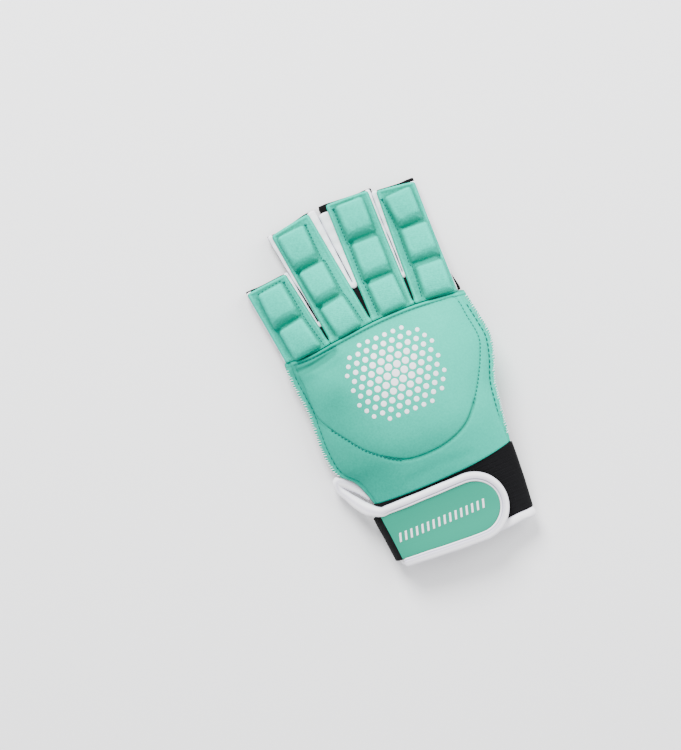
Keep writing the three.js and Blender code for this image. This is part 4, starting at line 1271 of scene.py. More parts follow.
    def pad(self, wardrobe: Wardrobe) -> None:
        """Builds the foam pad."""
        rows = int(self.length / 0.42)
        share = np.linspace(0, 1, rows)[:, None]
        side = np.sin(np.linspace(-1, 1, 66) * np.pi / 2 * 0.82) / math.sin(np.pi / 2 * 0.82)
        top, crease = self.surface(*np.broadcast_arrays(share, side[None]))
        x, y = top[..., 0], top[..., 1]
        under = self.under + self.arch * (1 - side[None] ** 2) + self.hand.lift(x, y)
        under = np.minimum(under, top[..., 2] - 0.5)
        bottom = np.stack([x, y, under], -1)
        mesh = Mesh(f"finger_foam_{self.name}")
        shell(mesh, top, bottom, painted_shade=crease, bulge=0.12)
        piece = wardrobe.dress(mesh, Wardrobe.FOAM, f"finger_pad_{self.name}")

    def sewing(self, mesh: Mesh) -> None:
        """Adds the row of stitches beside the blocks with its knot, and a row across the tip if it has one.

        Args:
            mesh: Mesh of all the fingers' stitches.
        """
        side = self.stitched_side
        line = []
        for block in self.blocks:
            corners = (block.tip_right, block.base_right) if side > 0 else (block.tip_left, block.base_left)
            line += [(c[0] + side * self.stitch_out, c[1]) for c in corners]
        line[0] = (line[0][0], line[0][1] - 1.0)
        stitch_row(mesh, smooth_line(line, 160), self.top, 1.5, 2.15, 0.27, arch=0.3)
        if self.tip_row:
            first = self.blocks[0]
            across = [(c[0], c[1] + self.stitch_out) for c in (first.tip_left, first.tip_right)]
            stitch_row(mesh, smooth_line(across, 40), self.top, 1.3, 2.3, 0.24, arch=0.2)
        x, y = line[0]
        for turn in (0.9, -0.5):
            reach = np.linspace(-1.1, 1.1, 9)
            knot = np.column_stack([x + reach * math.cos(turn), y + 0.7 + reach * math.sin(turn)])
            stitch_row(mesh, knot, self.top, 1.9, 3.0, 0.3, arch=0.5)


@dataclass
class Fingers:
    """The four half fingers, the tape that binds their sleeves and the webs between them."""

    hand: Hand
    sleeve_rim: float = 4.6
    past_tip: tuple[float, ...] = (0.6, 0.4, 0.6, 1.2)
    mouth_skew: tuple[float, ...] = (-0.6, 0.0, 0.0, 1.2)
    from_knuckle: float = 0.9
    tape_width: float = 4.0
    tape_height: float = 2.5
    tape_bottom: float = 4.95
    tape_spacing: float = 2.1
    tape_tuck: float = 0.9
    tape_split: tuple[float, ...] = (0.1, 0.22, 0.75)
    tape_part: tuple[float, ...] = (0.8, 0.3, 0.3)
    tape_short: tuple[float, ...] = (0.5, 4.6, 0.5)
    crotches: tuple[tuple[str, float], ...] = (
        ("little_ring", 43.5), ("ring_middle", 56.5), ("middle_index", 51.0),
    )

    def __post_init__(self) -> None:
        """Makes the fingers from their sizes."""
        rows = (
            ("little", (-39.7, 27.0), (-46.5, 76.6, 24.6, 2.2), 1, (
                ((-53.0, 71.5), (-38.0, 73.8), (-35.1, 52.8), (-51.7, 50.2)),
                ((-50.0, 48.8), (-34.9, 50.1), (-30.7, 31.6), (-47.7, 30.0)),
            )),
            ("ring", (-12.5, 25.6), (-21.2, 102.5, 24.0, 3.8), 1, (
                ((-30.4, 97.0), (-14.1, 99.2), (-13.2, 77.4), (-28.0, 75.9)),
                ((-27.0, 74.2), (-11.8, 75.6), (-9.7, 55.0), (-24.5, 53.5)),
                ((-23.7, 51.0), (-9.0, 53.2), (-5.1, 33.9), (-20.4, 31.7)),
            )),
            ("middle", (13.4, 25.2), (14.5, 104.3, 25.2, -1.4), -1, (
                ((6.5, 101.3), (22.5, 100.6), (22.1, 80.2), (6.2, 80.0)),
                ((6.7, 78.1), (22.3, 76.7), (22.0, 55.4), (5.7, 56.2)),
                ((6.1, 54.3), (21.8, 52.9), (22.6, 34.5), (6.4, 34.6)),
            )),
            ("index", (39.2, 24.4), (42.6, 99.7, 22.2, -3.3), -1, (
                ((34.1, 95.7), (49.8, 95.2), (49.7, 75.5), (35.5, 76.7)),
                ((35.5, 75.3), (50.9, 73.1), (50.4, 53.6), (34.1, 55.5)),
                ((34.9, 52.6), (50.2, 50.3), (49.5, 32.0), (32.8, 34.2)),
            )),
        )
        self.fingers = [
            Finger(
                name, base, tip, tuple(Block(*corners) for corners in blocks), side, self.hand,
                tip_row=name == "little",
            )
            for name, base, tip, side, blocks in rows
        ]

    def gap(self, index: int, y: Array) -> tuple[Array, Array]:
        """Middle of the gap between two fingers, and half of its width, at a y."""
        right, left = self.fingers[index].edge(1, y), self.fingers[index + 1].edge(-1, y)
        return (left + right) / 2, (left - right) / 2

    def rim(self, index: int, side: float, share: Array) -> Array:
        """X of a sleeve's rim at a share of the finger's length."""
        finger = self.fingers[index]
        y = finger.plan(share, side)[1]
        edge = finger.edge(side, y)
        if side < 0 and index == 0:
            return edge - 0.3 * (1 - share)
        if side > 0 and index == 3:
            return edge + 2.4 * (1 - smooth_step(0, 0.2, share))
        if side < 0:
            return np.maximum(self.gap(index - 1, y)[0] + 0.25, edge - 4)
        return np.minimum(self.gap(index, y)[0] - 0.25, edge + 4)

    def sleeve(self, index: int, wardrobe: Wardrobe) -> None:
        """Builds the black sleeve under one finger."""
        finger = self.fingers[index]
        start, past = self.from_knuckle / finger.length, self.past_tip[index] / finger.length
        share = np.linspace(start, 1 + past, 46)[:, None]
        low, rim = self.sleeve_rim - SLEEVE_WALL, self.sleeve_rim
        outside = Table("inset z", (0, low), (1.6, low - 0.05), (3.2, low - 0.3), (4.8, 0.9), (6.6, 0))
        inside = Table(
            "inset z", (0, rim), (2, rim - 0.02), (3.6, rim - 0.1), (5.8, 2.3), (7.2, SLEEVE_WALL),
        )
        faces = []
        for table in (outside, inside):
            inset = np.linspace(0, table.along[-1], 16)[None]
            height = table.read("z", inset)
            halves = []
            for side in (-1.0, 1.0):
                edge = self.rim(index, side, share)
                y = finger.plan(share, side)[1] + side * self.mouth_skew[index] * smooth_step(0.6, 1, share)
                x = edge - side * inset
                wave = 0.12 * ripple(x, y, 15, 1.1 + index) * (inset > 2)
                z = np.maximum(height + np.abs(wave), 0)
                halves.append(np.stack(np.broadcast_arrays(x, y, z + self.hand.lift(x, y)), -1))
            left, right = halves[0], halves[1][:, ::-1]
            between = np.linspace(0, 1, 10)[None, 1:-1, None]
            floor = lerp(left[:, -1:], right[:, :1], between)
            floor[..., 2] = table.columns["z"][-1] + self.hand.lift(floor[..., 0], floor[..., 1])
            faces.append(np.concatenate([left, floor, right], 1))
        mesh = Mesh(f"sleeve_{finger.name}")
        shell(mesh, softened(faces[0], 6), softened(faces[1], 6), painted_shade=0.3)
        piece = wardrobe.dress(mesh, Wardrobe.CLOTH, f"finger_sleeve_{finger.name}")
        finger.length * MM

    def tape_path(self, plan: Array) -> Array:
        """Path of a sleeve's tape over places in plan."""
        z = self.tape_bottom + self.tape_height / 2 + self.hand.lift(plan[:, 0], plan[:, 1])
        return np.column_stack([plan, z])

    def crotch_tape(self, index: int, wardrobe: Wardrobe) -> None:
        """Builds the tape that runs down one finger, round the crotch and up the next."""
        name, crotch = self.crotches[index]
        low = crotch + self.tape_spacing

        def leg(side: float, y: Array) -> Array:
            """Places in plan and widths of the tape beside the finger on one side of the gap."""
            middle, half = self.gap(index, y)
            inner = 0.04 - side * self.tape_split[index] * np.maximum(half - 1.3, 0)
            if side > 0:
                inner = inner + self.tape_part[index] * smooth_step(crotch + 32, crotch + 16, y)
            wide = np.maximum(half + self.tape_tuck - inner, 3.0)
            return np.column_stack([middle + side * (inner + wide / 2), y, wide])

        top_left = self.fingers[index].plan(1.0, 1.0)[1] - 0.5
        top_right = self.fingers[index + 1].plan(1.0, -1.0)[1] - self.tape_short[index]
        turn = np.radians(np.linspace(180, 360, 17)[1:-1])
        middle = float(self.gap(index, np.array(crotch))[0])
        left, right = leg(-1, np.linspace(top_left, low, 70)), leg(1, np.linspace(low, top_right, 70))
        radius = lerp(middle - left[-1, 0], right[0, 0] - middle, (1 + np.cos(turn)) / 2)
        bend = np.column_stack([
            middle + radius * np.cos(turn), low + self.tape_spacing * np.sin(turn), np.full(len(turn), 3.4),
        ])
        plan = np.vstack([left, bend, right])
        path = self.tape_path(plan[:, :2])
        path[:, 2] += 0.12 * np.sin(path[:, 1] * 0.9)
        wide = plan[:, 2] + 0.12 * np.sin(path[:, 1] * 0.55 + index)
        mesh = Mesh(f"tape_{name}")
        band(mesh, path, wide, self.tape_height)
        wardrobe.dress(mesh, Wardrobe.TAPE, f"finger_tape_{name}")

    def side_tape(self, index: int, side: float, wardrobe: Wardrobe) -> None:
        """Builds the tape on an outer edge of the hand's fingers."""
        finger = self.fingers[index]
        y = np.linspace(finger.plan(1.0, side)[1] - 0.5, finger.plan(0.0, side)[1] + 1.2, 90)
        x = finger.edge(side, y) - side * (self.tape_width / 2 - 0.6)
        mesh = Mesh(f"tape_{finger.name}_side")
        wide = self.tape_width + 0.2 * np.sin(y * 0.6)
        band(mesh, self.tape_path(np.column_stack([x, y])), wide, self.tape_height)
        wardrobe.dress(mesh, Wardrobe.TAPE, f"finger_tape_{finger.name}_side")

    def web(self, index: int, wardrobe: Wardrobe) -> None:
        """Builds the black web below a crotch."""
        name, crotch = self.crotches[index]
        base_x = float(self.gap(index, np.array(crotch))[0])
        low = float(self.hand.knuckles.read("y", base_x)) + 0.65
        y = np.linspace(low, crotch - self.tape_width / 2 - 0.55, 26)
        side = np.linspace(-4, 4, 18)[None]
        x = self.gap(index, y)[0][:, None] + side
        yy = np.broadcast_to(y[:, None], x.shape)
        sag = 0.7 * (1 - (side / 4) ** 2) + 0.15 * ripple(x, yy, 9, 2.0 + index)
        lift = self.hand.lift(x, yy)
        faces = [
            np.stack([x, yy, self.tape_bottom + thick - sag * 0.6 + lift], -1) for thick in (2.0, 0.9)
        ]
        mesh = Mesh(f"web_{name}")
        shell(mesh, faces[0], faces[1], painted_shade=0.3)
        piece = wardrobe.dress(mesh, Wardrobe.CLOTH, f"finger_web_{name}")

    def build(self, wardrobe: Wardrobe) -> None:
        """Builds all of the fingers."""
        sewn = Mesh("finger_stitches")
        for index, finger in enumerate(self.fingers):
            finger.pad(wardrobe)
            finger.sewing(sewn)
            self.sleeve(index, wardrobe)
        wardrobe.dress(sewn, Wardrobe.TEAL_THREAD)
        for index in range(3):
            self.crotch_tape(index, wardrobe)
            self.web(index, wardrobe)
        self.side_tape(0, -1.0, wardrobe)
        self.side_tape(3, 1.0, wardrobe)


@dataclass
class Palm:
    """Black palm: a soft tray under the hand, open at the right for the thumb."""

    hand: Hand
    flange_from: float = -33.0
    side_from: float = -32.2
    open_from: float = -26.0
    open_to: float = 1.0
    side_to: float = 6.2
    flange_to: float = 7.0
    keep: float = 0.6
    narrowing: float = 0.5

    def opening(self, y: Array) -> tuple[Array, Array]:
        """Shares by which the flange and the side of the wall are left out at a section's y."""
        flange = smooth_step(self.flange_from, self.side_from, y)
        side = smooth_step(self.side_from, self.open_from, y)
        flange_end = smooth_step(self.side_to, self.flange_to, y)
        side_end = smooth_step(self.open_to, self.side_to, y)
        return flange * (1 - flange_end), side * (1 - side_end)

    def face(self, level: float) -> Array:
        """Grid of the tray's outer (0) or inner (1) face."""
        rows = np.linspace(0, 1, 130)[:, None]
        s = self.hand.section(rows)
        edge = s["seam"] - GAP - (1 - level) * SEAM_FLANGE
        open_flange, open_side = self.opening(s["y"])
        half = (s["right"] - s["left"]) / 2 - s["flange"] - level * PALM_WALL
        middle, floor = (s["left"] + s["right"]) / 2, level * PALM_WALL
        across = np.linspace(0, 1, 110)[None]
        narrowed = np.maximum(across - self.keep, 0) * (1 - self.narrowing * open_side)
        kept = np.minimum(across, self.keep) + narrowed
        side, up = superellipse(np.pi * (1 - kept), PALM_ROUNDNESS)
        x, z = middle + half * side, lerp(edge, floor, up)
        arch = self.hand.place(rows, x, z)
        left = self.hand.place(rows, lerp(s["left"], x[:, :1], np.linspace(0, 1, 6)[None, :-1]), edge)
        beyond = lerp(s["right"] - x[:, -1:], PALM_LIP, open_flange)
        out = np.linspace(0, 1, 6)[None, 1:]
        right = self.hand.place(rows, x[:, -1:] + beyond * out, z[:, -1:] + 0 * out)
        return np.concatenate([left, arch, right], 1)

    def build(self, wardrobe: Wardrobe) -> None:
        """Builds the palm with a few soft wrinkles."""
        outer, inner = self.face(0.0), self.face(1.0)
        x, y = outer[..., 0], outer[..., 1]
        wrinkle = 0.25 * ripple(x, y, 24, 0.9) * smooth_step(0, 8, 50 - np.abs(x))
        outer[..., 2] += wrinkle
        inner[..., 2] += wrinkle
        mesh = Mesh("palm_skin")
        shell(mesh, outer, inner, painted_shade=0.3)
        piece = wardrobe.dress(mesh, Wardrobe.PALM, "palm")


@dataclass
class Cuff:
    """Elastic cuff and its bound edge."""

    hand: Hand
    end: float = -97.6
    sag: float = 0.12
    tape_y: float = -100.7
    tape_width: float = 5.1
    tape_wall: float = 3.8
    skew: float = 2.7
    sections: Table = Table(
        "y left right height",
        (-104, -35.6, 44.2, 18.6), (-84, -37.4, 46.3, 17.8), (-70, -38.8, 47.2, 17.2),
        (-58, -38.9, 47.6, 17),
    )

    def rise(self, x: Array) -> Array:
        """How far the wrist end of the cuff and the strap runs up towards the little finger's side."""
        return self.skew * smooth_step(16, -40, x)

    def point(self, angle: Array, y: Array, offset: float) -> tuple[Array, Array]:
        """X and height of the cuff's outline at an angle, grown outwards by an offset."""
        left, right = self.sections.read("left", y), self.sections.read("right", y)
        height = self.sections.read("height", y)
        across, up = superellipse(angle, CUFF_ROUNDNESS)
        return (
            (left + right) / 2 + ((right - left) / 2 + offset) * across,
            height / 2 + (height / 2 + offset) * up,
        )

    def top(self, x: Array, y: Array, offset: float) -> Array:
        """Height of the cuff's upper side at places in plan, grown outwards by an offset."""
        left, right = self.sections.read("left", y), self.sections.read("right", y)
        height = self.sections.read("height", y)
        share = np.clip(np.abs(x - (left + right) / 2) / ((right - left) / 2 + offset), 0, 1)
        up = (1 - share**CUFF_ROUNDNESS) ** (1 / CUFF_ROUNDNESS)
        return height / 2 + (height / 2 + offset) * up

    def band(self, wardrobe: Wardrobe) -> None:
        """Builds the elastic tube."""
        angle = (2 * np.pi * np.arange(220) / 220)[None]
        share = np.linspace(0, 1, 60)[:, None]
        faces = []
        for offset in (0.0, -CUFF_WALL):
            start_x = self.point(angle, np.array(self.hand.first_y), 0)[0]
            start = self.hand.wrist.read("y", start_x) - 2 * GAP
            y = lerp(start, self.end + self.rise(start_x), share)
            x, z = self.point(angle, y, offset)
            rib = 0.09 * np.sin(y * 2.4) + 0.12 * ripple(x * 1.2, y * 0.4, 17, 0.4)
            upper = smooth_step(-0.2, 0.5, np.sin(angle))
            z = np.maximum(z - self.sag, -offset) + rib * upper
            faces.append(np.stack([x, y, z + self.hand.lift(x, y)], -1))
        mesh = Mesh("cuff_elastic")
        shell(mesh, faces[0], faces[1], ring=True, painted_shade=0.3)
        piece = wardrobe.dress(mesh, Wardrobe.ELASTIC, "cuff_band")

    def tape(self, wardrobe: Wardrobe) -> None:
        """Builds the tape round the mouth of the cuff."""
        steps = 200
        angle = 2 * np.pi * np.arange(steps) / steps
        y = np.full(steps, self.tape_y)
        x, z = self.point(angle, y, -CUFF_WALL / 2)
        out_x, out_z = self.point(angle, y, 0)
        up = unit(np.column_stack([out_x - x, 0 * x, out_z - z]))
        z = np.maximum(z, self.tape_wall / 2)
        y = y + 0.25 * np.sin(3 * angle) + 0.12 * np.sin(11 * angle) + self.rise(x)
        path = np.column_stack([x, y, z + self.hand.lift(x, y)])
        width = self.tape_width + 0.2 * np.sin(7 * angle)
        mesh = Mesh("cuff_binding")
        band(mesh, path, width, self.tape_wall, up=up, closed=True, roundness=2.6)
        wardrobe.dress(mesh, Wardrobe.TAPE, "cuff_tape")

    def build(self, wardrobe: Wardrobe) -> None:
        """Builds the cuff."""
        self.band(wardrobe)
        self.tape(wardrobe)


@dataclass
class Strap:
    """Wrist strap: black underside, coated face, binding and the loose fold that it ends in."""

    hand: Hand
    cuff: Cuff
    middle: float = -84.6
    half: float = 14.0
    end_centre: float = 13.4
    left: float = -36.0
    tape_width: float = 5.4
    tape_height: float = 4.0
    tape_offset: float = 3.3
    reach: float = 3.2
    under_tape: float = 0.7
    under_layer: tuple[float, float] = (1.25, 1.6)
    face_layer: tuple[float, float] = (3.2, 1.2)
    bar_count: int = 16
    bar_first: float = -31.5
    bar_pitch: float = 3.35
    bar_half: tuple[float, float] = (0.62, 2.5)
    bar_slant: float = 0.75
    fold: tuple[tuple[float, ...], ...] = (
        (-38.4, -57.6, 5.6, 4.8, 3.6), (-41.4, -52.6, 5.6, 6.0, 4.2), (-45.3, -47.7, 5.7, 6.9, 5.2),
        (-49.2, -44.2, 6.2, 7.0, 6.4), (-52.0, -43.0, 6.6, 6.4, 6.6), (-53.3, -45.0, 6.7, 5.0, 6.2),
        (-52.9, -48.2, 6.7, 4.6, 6.0), (-50.7, -51.9, 7.2, 5.0, 6.0), (-47.9, -56.3, 8.6, 5.9, 5.8),
        (-44.9, -60.6, 10.9, 6.7, 5.2), (-41.2, -64.4, 13.4, 6.6, 4.4),
    )

    @property
    def cloth_half(self) -> float:
        """Half width of the strap's layers, which run in under the binding."""
        return self.half + self.under_tape

    def swell(self, x: Array, y: Array, share: Array) -> Array:
        """Soft wave and crown of the layers, at places in plan and shares of the half width."""
        return 0.05 * ripple(x, y, 21, 1.4) + 0.25 * (1 - share**2)

    def angle_at(self, x: float, offset: float) -> float:
        """Angle round the cuff at which its upper side has an x."""
        angles = np.linspace(0, np.pi, 4000)
        xs = self.cuff.point(angles, np.array(self.middle), offset)[0]
        return float(np.interp(-x, -xs, angles))

    def strip(
        self, name: str, node: str, layer: tuple[float, float], to_angle: float, finish: Finish,
        wardrobe: Wardrobe, flat: tuple[float, float],
    ) -> None:
        """Builds one layer of the strap.

        Args:
            name: Name of the piece.
            node: Solid that it stands for.
            layer: Height of its underside above the cuff, and its thickness.
            to_angle: Angle round the wrist that it reaches.
            finish: Its finish.
            wardrobe: Maker of the piece.
            flat: Its flat width and length in metres; not used.
        """
        offset, thick = layer
        start = self.angle_at(self.end_centre + self.half + 0.6, offset + thick)
        angle = lerp(start, to_angle, np.linspace(0, 1, 130) ** 1.25)[None]
        rows = np.linspace(1, -1, 40)[:, None]
        faces = []
        for out in (offset + thick, offset):
            x = self.cuff.point(angle, np.array(self.middle), offset + thick)[0]
            past = np.maximum(0, x - self.end_centre) / self.cloth_half
            reach = self.cloth_half * np.sqrt(np.maximum(0, 1 - past**2))
            risen = self.cuff.rise(x) * np.clip(0.5 - rows, 0, 1.5) / 1.5
            y = self.middle + np.maximum(reach, 0.3) * rows + risen
            px, z = self.cuff.point(angle, y, out)
            z = z + self.swell(px, y, rows)
            faces.append(np.stack([px, y, z + self.hand.lift(px, y)], -1))
        # Painted shade along the layer's two edges, where they run in under the binding.
        edge = np.abs(rows) * np.ones_like(angle)
        mesh = Mesh(name)
        shell(mesh, faces[0], faces[1], painted_shade=0.15 + 0.5 * edge**10)
        piece = wardrobe.dress(mesh, finish, node)

    def face_top(self, x: Array, y: Array) -> Array:
        """Height of the strap's coated face."""
        share = (y - self.middle) / self.cloth_half
        top = self.cuff.top(x, y, sum(self.face_layer))
        return top + self.swell(x, y, share) + self.hand.lift(x, y)

    def bars(self, wardrobe: Wardrobe) -> None:
        """Prints a plain row of slanted white bars along the strap."""
        mesh = Mesh("strap_print")
        u = np.linspace(-1, 1, 5)[None]
        v = np.linspace(-1, 1, 12)[:, None]
        for number in range(self.bar_count):
            x = self.bar_first + self.bar_pitch * number + self.bar_half[0] * u + self.bar_slant * v
            y = self.middle - 0.1 + self.bar_half[1] * v + 0 * u
            z = self.face_top(x, y)
            outer = np.stack([x, y, z + 0.1 - 0.06 * u**6], -1)
            inner = np.stack([x, y, z - 0.15 + 0 * u], -1)
            shell(mesh, outer, inner, painted_shade=0.2, bulge=0.05)
        wardrobe.dress(mesh, Wardrobe.INK)

    def binding(self, wardrobe: Wardrobe) -> None:
        """Builds the binding round the strap and its fold at the side of the wrist."""
        reach = self.half + self.reach
        turn = np.radians(np.linspace(90, -90, 40))
        ahead = np.linspace(self.left, self.end_centre, 80)
        upper = np.column_stack([ahead, np.full(len(ahead), self.middle + reach)])
        end = np.column_stack([self.end_centre + reach * np.cos(turn), self.middle + reach * np.sin(turn)])
        back = np.linspace(self.end_centre, self.left + 3, 80)
        lower = np.column_stack([back, self.middle - reach + self.cuff.rise(back)])
        plan = np.vstack([upper, end[1:-1], lower])
        z = self.cuff.top(plan[:, 0], plan[:, 1], self.tape_offset) + self.hand.lift(plan[:, 0], plan[:, 1])
        across = np.full(len(plan), self.tape_width)
        on_cuff = np.column_stack([plan, z, across, np.full(len(plan), self.tape_height)])
        fold = np.array(self.fold)
        fold[:, 2] += self.hand.lift(fold[:, 0], fold[:, 1])
        met = 6
        lead = smooth_line(np.vstack([fold, on_cuff[[0, met]]]), 200)[:-1]
        path = np.vstack([lead, on_cuff[met:]])
        width = path[:, 3] + 0.12 * np.sin(np.arange(len(path)) * 0.21)
        joins = len(lead) / len(path)
        seam_at = math.radians(57)

        def sink(along: Array, angle: Array) -> Array:
            """Seam line along the binding's inner edge, which its fold doesn't have."""
            return 0.65 * bell(angle, seam_at, 0.16) * smooth_step(joins - 0.05, joins + 0.05, along)

        def shade(angle: Array) -> Array:
            """Painted shade: greyer tone on the binding's flat and on its outer side."""
            flat = 0.5 * bell(angle, math.radians(84), 0.3)
            return flat + 0.6 * np.abs(np.cos(angle)) ** 6 * (np.cos(angle) < 0)

        mesh = Mesh("strap_binding")
        band(mesh, path[:, :3], width, path[:, 4], sides=48, roundness=2.3, groove=sink, tone=shade)
        wardrobe.dress(mesh, Wardrobe.TAPE, "strap_tape")

    def build(self, wardrobe: Wardrobe) -> None:
        """Builds the strap."""
        base_end, face_end = math.pi * 1.13, self.angle_at(self.left, sum(self.face_layer))
        self.strip(
            "strap_underside", "strap_base", self.under_layer, base_end, Wardrobe.CLOTH, wardrobe,
            (0.0285, 0.077),
        )
        self.strip(
            "strap_cover", "strap_face", self.face_layer, face_end, Wardrobe.STRAP, wardrobe,
            (0.0285, 0.064),
        )
        self.bars(wardrobe)
        self.binding(wardrobe)


@dataclass
class Thumb:
    """Thumb folded under the palm: foam pad below, sleeve above, and the gusset round its mouth."""

    hand: Hand
    palm: Palm
    x: float = 44.0
    y: float = -13.0
    angle: float = 160.0
    length: float = 56.0
    halves: tuple[float, float] = (15.0, 13.0)
    flange: float = 4.6
    inside: float = 6.2
    lining: float = 11.5
    top: float = 12.6
    blocks: tuple[tuple[float, float], ...] = ((3.0, 25.0), (28.0, 53.0))
    block_half: float = 9.5
    corner: float = 3.4

    def plan(self, along: Array, side: Array) -> tuple[Array, Array]:
        """Place in plan at a distance along the thumb and a side from -1 to 1."""
        turn = math.radians(self.angle)
        half = lerp(self.halves[0], self.halves[1], along / self.length)
        return (
            self.x + along * math.cos(turn) + side * half * math.sin(turn),
            self.y + along * math.sin(turn) - side * half * math.cos(turn),
        )

    def pad(self, wardrobe: Wardrobe) -> None:
        """Builds the foam pad, which the hand lies on."""
        along = np.linspace(0, self.length, 120)[:, None]
        side = np.linspace(-1, 1, 64)[None]
        half = lerp(self.halves[0], self.halves[1], along / self.length)
        across = side * half
        foam = np.zeros(np.broadcast(along, side).shape)
        # Painted shade: mid tone round the blocks, darker towards each block's foot.
        painted_shade = np.full(foam.shape, 0.6)
        for start, end in self.blocks:
            halves = (self.block_half, (end - start) / 2)
            out = outside_box(across, along - (start + end) / 2, halves, self.corner)
            share = np.clip(-out / 3.0, 0, 1)
            block = (1 - (1 - share) ** 2.3) ** (1 / 2.3)
            foam = np.maximum(foam, block)
            painted_shade = np.where(share > 0, 0.1 + 0.8 * (1 - share) ** 1.3, painted_shade)
        x, y = self.plan(along, side)
        upper = np.stack([x, y, np.full(x.shape, self.inside)], -1)
        lower = np.stack([x, y, self.flange * (1 - foam)], -1)
        mesh = Mesh("thumb_foam")
        shell(mesh, lower, upper, painted_shade=painted_shade, bulge=0.2)
        piece = wardrobe.dress(mesh, Wardrobe.FOAM, "thumb_pad")

    def sleeve(self, wardrobe: Wardrobe) -> None:
        """Builds the black sleeve of the thumb."""
        rim = self.inside + GAP
        outside = Table("inset z", (0, rim), (0.1, rim + 2.6), (1.8, self.top - 0.8), (4, self.top))
        inside = Table("inset z", (1.4, rim), (1.5, rim + 2.2), (2.8, self.lining - 0.6), (4.6, self.lining))
        along = np.linspace(0, self.length, 60)[:, None]
        half = lerp(self.halves[0], self.halves[1], along / self.length)
        faces = []
        for table in (outside, inside):
            step = np.linspace(0, 1, 16)
            number = step * (len(table.along) - 1)
            inset = np.interp(number, np.arange(len(table.along)), table.along)[None]
            height = np.interp(number, np.arange(len(table.along)), table.columns["z"])[None]
            halves = []
            for side in (-1.0, 1.0):
                x, y = self.plan(along, side * (1 - (inset + 0.4) / half))
                halves.append(np.stack(np.broadcast_arrays(x, y, height), -1))
            left, right = halves[0], halves[1][:, ::-1]
            between = np.linspace(0, 1, 20)[None, 1:-1, None]
            faces.append(np.concatenate([left, lerp(left[:, -1:], right[:, :1], between), right], 1))
        mesh = Mesh("thumb_sleeve_cloth")
        shell(mesh, faces[0], faces[1], painted_shade=0.3)
        piece = wardrobe.dress(mesh, Wardrobe.CLOTH, "thumb_sleeve")

    def gusset(self, wardrobe: Wardrobe) -> None:
        """Builds the gusset that carries the side of the hand down to the thumb's mouth."""
        slope = math.tan(math.radians(180 - self.angle))
        share_down, turn_from, wall, inset = 0.3, 14.0, 1.9, 0.3
        section_y = np.linspace(self.palm.side_from + inset, self.palm.side_to - inset, 60)[:, None]
        share = self.hand.share_at(section_y)
        c = np.linspace(0, 1, 50)[None]
        faces = []
        for level in (0.0, 1.0):
            section = self.hand.section(share)
            y = self.hand.plan_y(share, section["right"])
            side = section["right"] - GAP - level * wall
            top = section["seam"] + self.hand.lift(section["right"], y) - 2 * GAP - SEAM_FLANGE
            mouth = self.x + (y - self.y) * slope + 0.4
            most = np.radians(lerp(8, 90, self.palm.opening(section_y)[1]))
            turn = np.clip((c - share_down) / (1 - share_down), 0, 1) * most
            bottom = lerp(self.flange, self.inside, level)
            down = lerp(top, turn_from, np.clip(c / share_down, 0, 1))
            x = np.where(c <= share_down, side + 0 * c, mouth + (side - mouth) * np.cos(turn))
            z = np.where(c <= share_down, down, lerp(turn_from, bottom, np.sin(turn)))
            faces.append(np.stack(np.broadcast_arrays(x, y + 0 * c, z), -1))
        mesh = Mesh("thumb_gusset_knit")
        shell(mesh, softened(faces[0], 24), softened(faces[1], 24), painted_shade=0.4)
        piece = wardrobe.dress(mesh, Wardrobe.KNIT, "thumb_gusset")

    def build(self, wardrobe: Wardrobe) -> None:
        """Builds the thumb."""
        self.pad(wardrobe)
        self.sleeve(wardrobe)
        self.gusset(wardrobe)


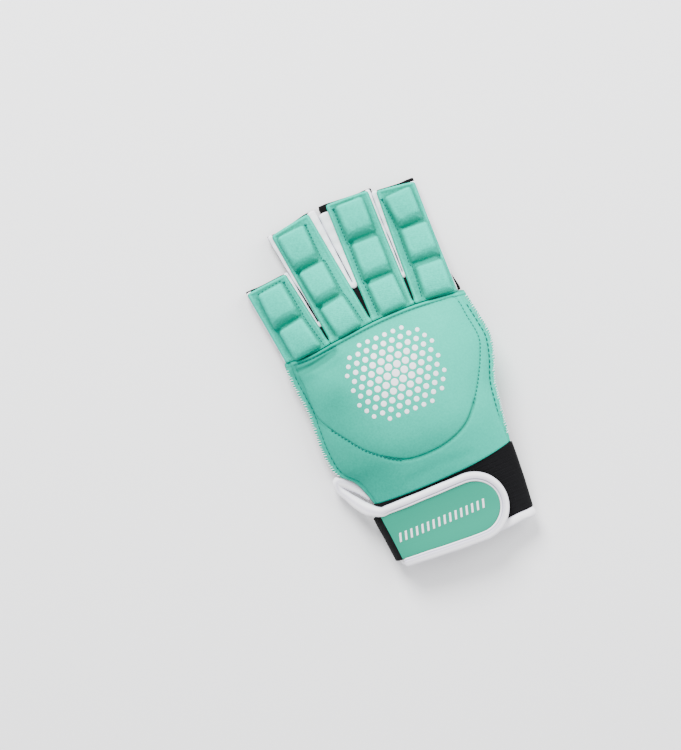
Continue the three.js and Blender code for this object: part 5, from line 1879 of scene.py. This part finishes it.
@dataclass(frozen=True)
class Studio:
    """Pale floor, soft light and the camera straight above."""

    aim: tuple[float, float] = (-27.4, 12.7)
    turn: float = -22.7
    lens: float = 100.0
    distance: float = 1.192
    key_at: tuple[float, float, float] = (0.0, 1.2, 1.1)
    key_power: float = 56.0
    key_size: float = 0.8
    fill_at: tuple[float, float, float] = (1.1, 0.25, 1.0)
    fill_share: float = 0.3
    fill_size: float = 1.0
    world_strength: float = 1.15

    def camera(self) -> None:
        """Makes the camera."""
        data = bpy.data.cameras.new("camera")
        data.lens = self.lens
        data.sensor_width = 36.0
        data.clip_end = 20.0
        camera = bpy.data.objects.new("camera", data)
        camera.location = (self.aim[0] * MM, self.aim[1] * MM, self.distance)
        camera.rotation_euler = (0.0, 0.0, math.radians(self.turn))
        bpy.context.scene.collection.objects.link(camera)
        bpy.context.scene.camera = camera

    def floor(self) -> None:
        """Makes the floor."""
        mesh = Mesh("floor")
        size, thick = 5000.0, 5.0
        grid = np.linspace(-size, size, 5)
        x, y = np.meshgrid(grid, grid)
        upper = np.stack([x, y, 0 * x], -1)
        shell(mesh, upper, upper - np.array([0, 0, thick]), bulge=0.0)
        floor = mesh.build()
        material = bpy.data.materials.new("matt_floor")
        material.use_nodes = True
        shader = material.node_tree.nodes["Principled BSDF"]
        w = Wiring(material.node_tree)
        noise = w.add("TexNoise", {"Scale": 3.0, "Detail": 2.0})
        pale = Colour.FLOOR.linear()
        dim = tuple(0.985 * part for part in pale[:3]) + (1.0,)
        w.tree.links.new(w.blend(noise.outputs["Fac"], pale, dim), shader.inputs["Base Color"])
        shader.inputs["Roughness"].default_value = 0.7
        shader.inputs["Specular IOR Level"].default_value = 0.2
        floor.data.materials.append(material)

    def light(self, name: str, at: tuple[float, float, float], power: float, size: float) -> None:
        """Makes a soft lamp that shines on the glove.

        Args:
            name: Name of the lamp.
            at: Its place, in metres.
            power: Its power, in watts.
            size: Its width, in metres.
        """
        data = bpy.data.lights.new(name, "AREA")
        data.energy = power
        data.size = size
        data.shape = "DISK"
        lamp = bpy.data.objects.new(name, data)
        lamp.location = at
        aim = Vector((0.0, 0.0, 0.02)) - lamp.location
        lamp.rotation_euler = aim.to_track_quat("-Z", "Y").to_euler()
        bpy.context.scene.collection.objects.link(lamp)

    def build(self) -> None:
        """Makes the floor, the lights and the camera."""
        self.floor()
        self.light("key", self.key_at, self.key_power, self.key_size)
        self.light("fill", self.fill_at, self.key_power * self.fill_share, self.fill_size)
        world = bpy.data.worlds.new("soft_room")
        world.use_nodes = True
        ground = world.node_tree.nodes["Background"]
        ground.inputs[0].default_value = (0.98, 0.985, 1.0, 1.0)
        ground.inputs[1].default_value = self.world_strength
        bpy.context.scene.world = world
        self.camera()


def main() -> None:
    """Builds the glove, then its studio."""
    logging.basicConfig(level=logging.INFO, format="%(message)s")
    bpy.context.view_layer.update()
    wardrobe = Wardrobe()
    hand = Hand()
    palm = Palm(hand)
    cuff = Cuff(hand)
    for part in (BackOfHand(hand), Fingers(hand), palm, cuff, Strap(hand, cuff), Thumb(hand, palm)):
        LOG.info("building %s", type(part).__name__)
        part.build(wardrobe)
    Studio().build()


if __name__ == "__main__":
    main()
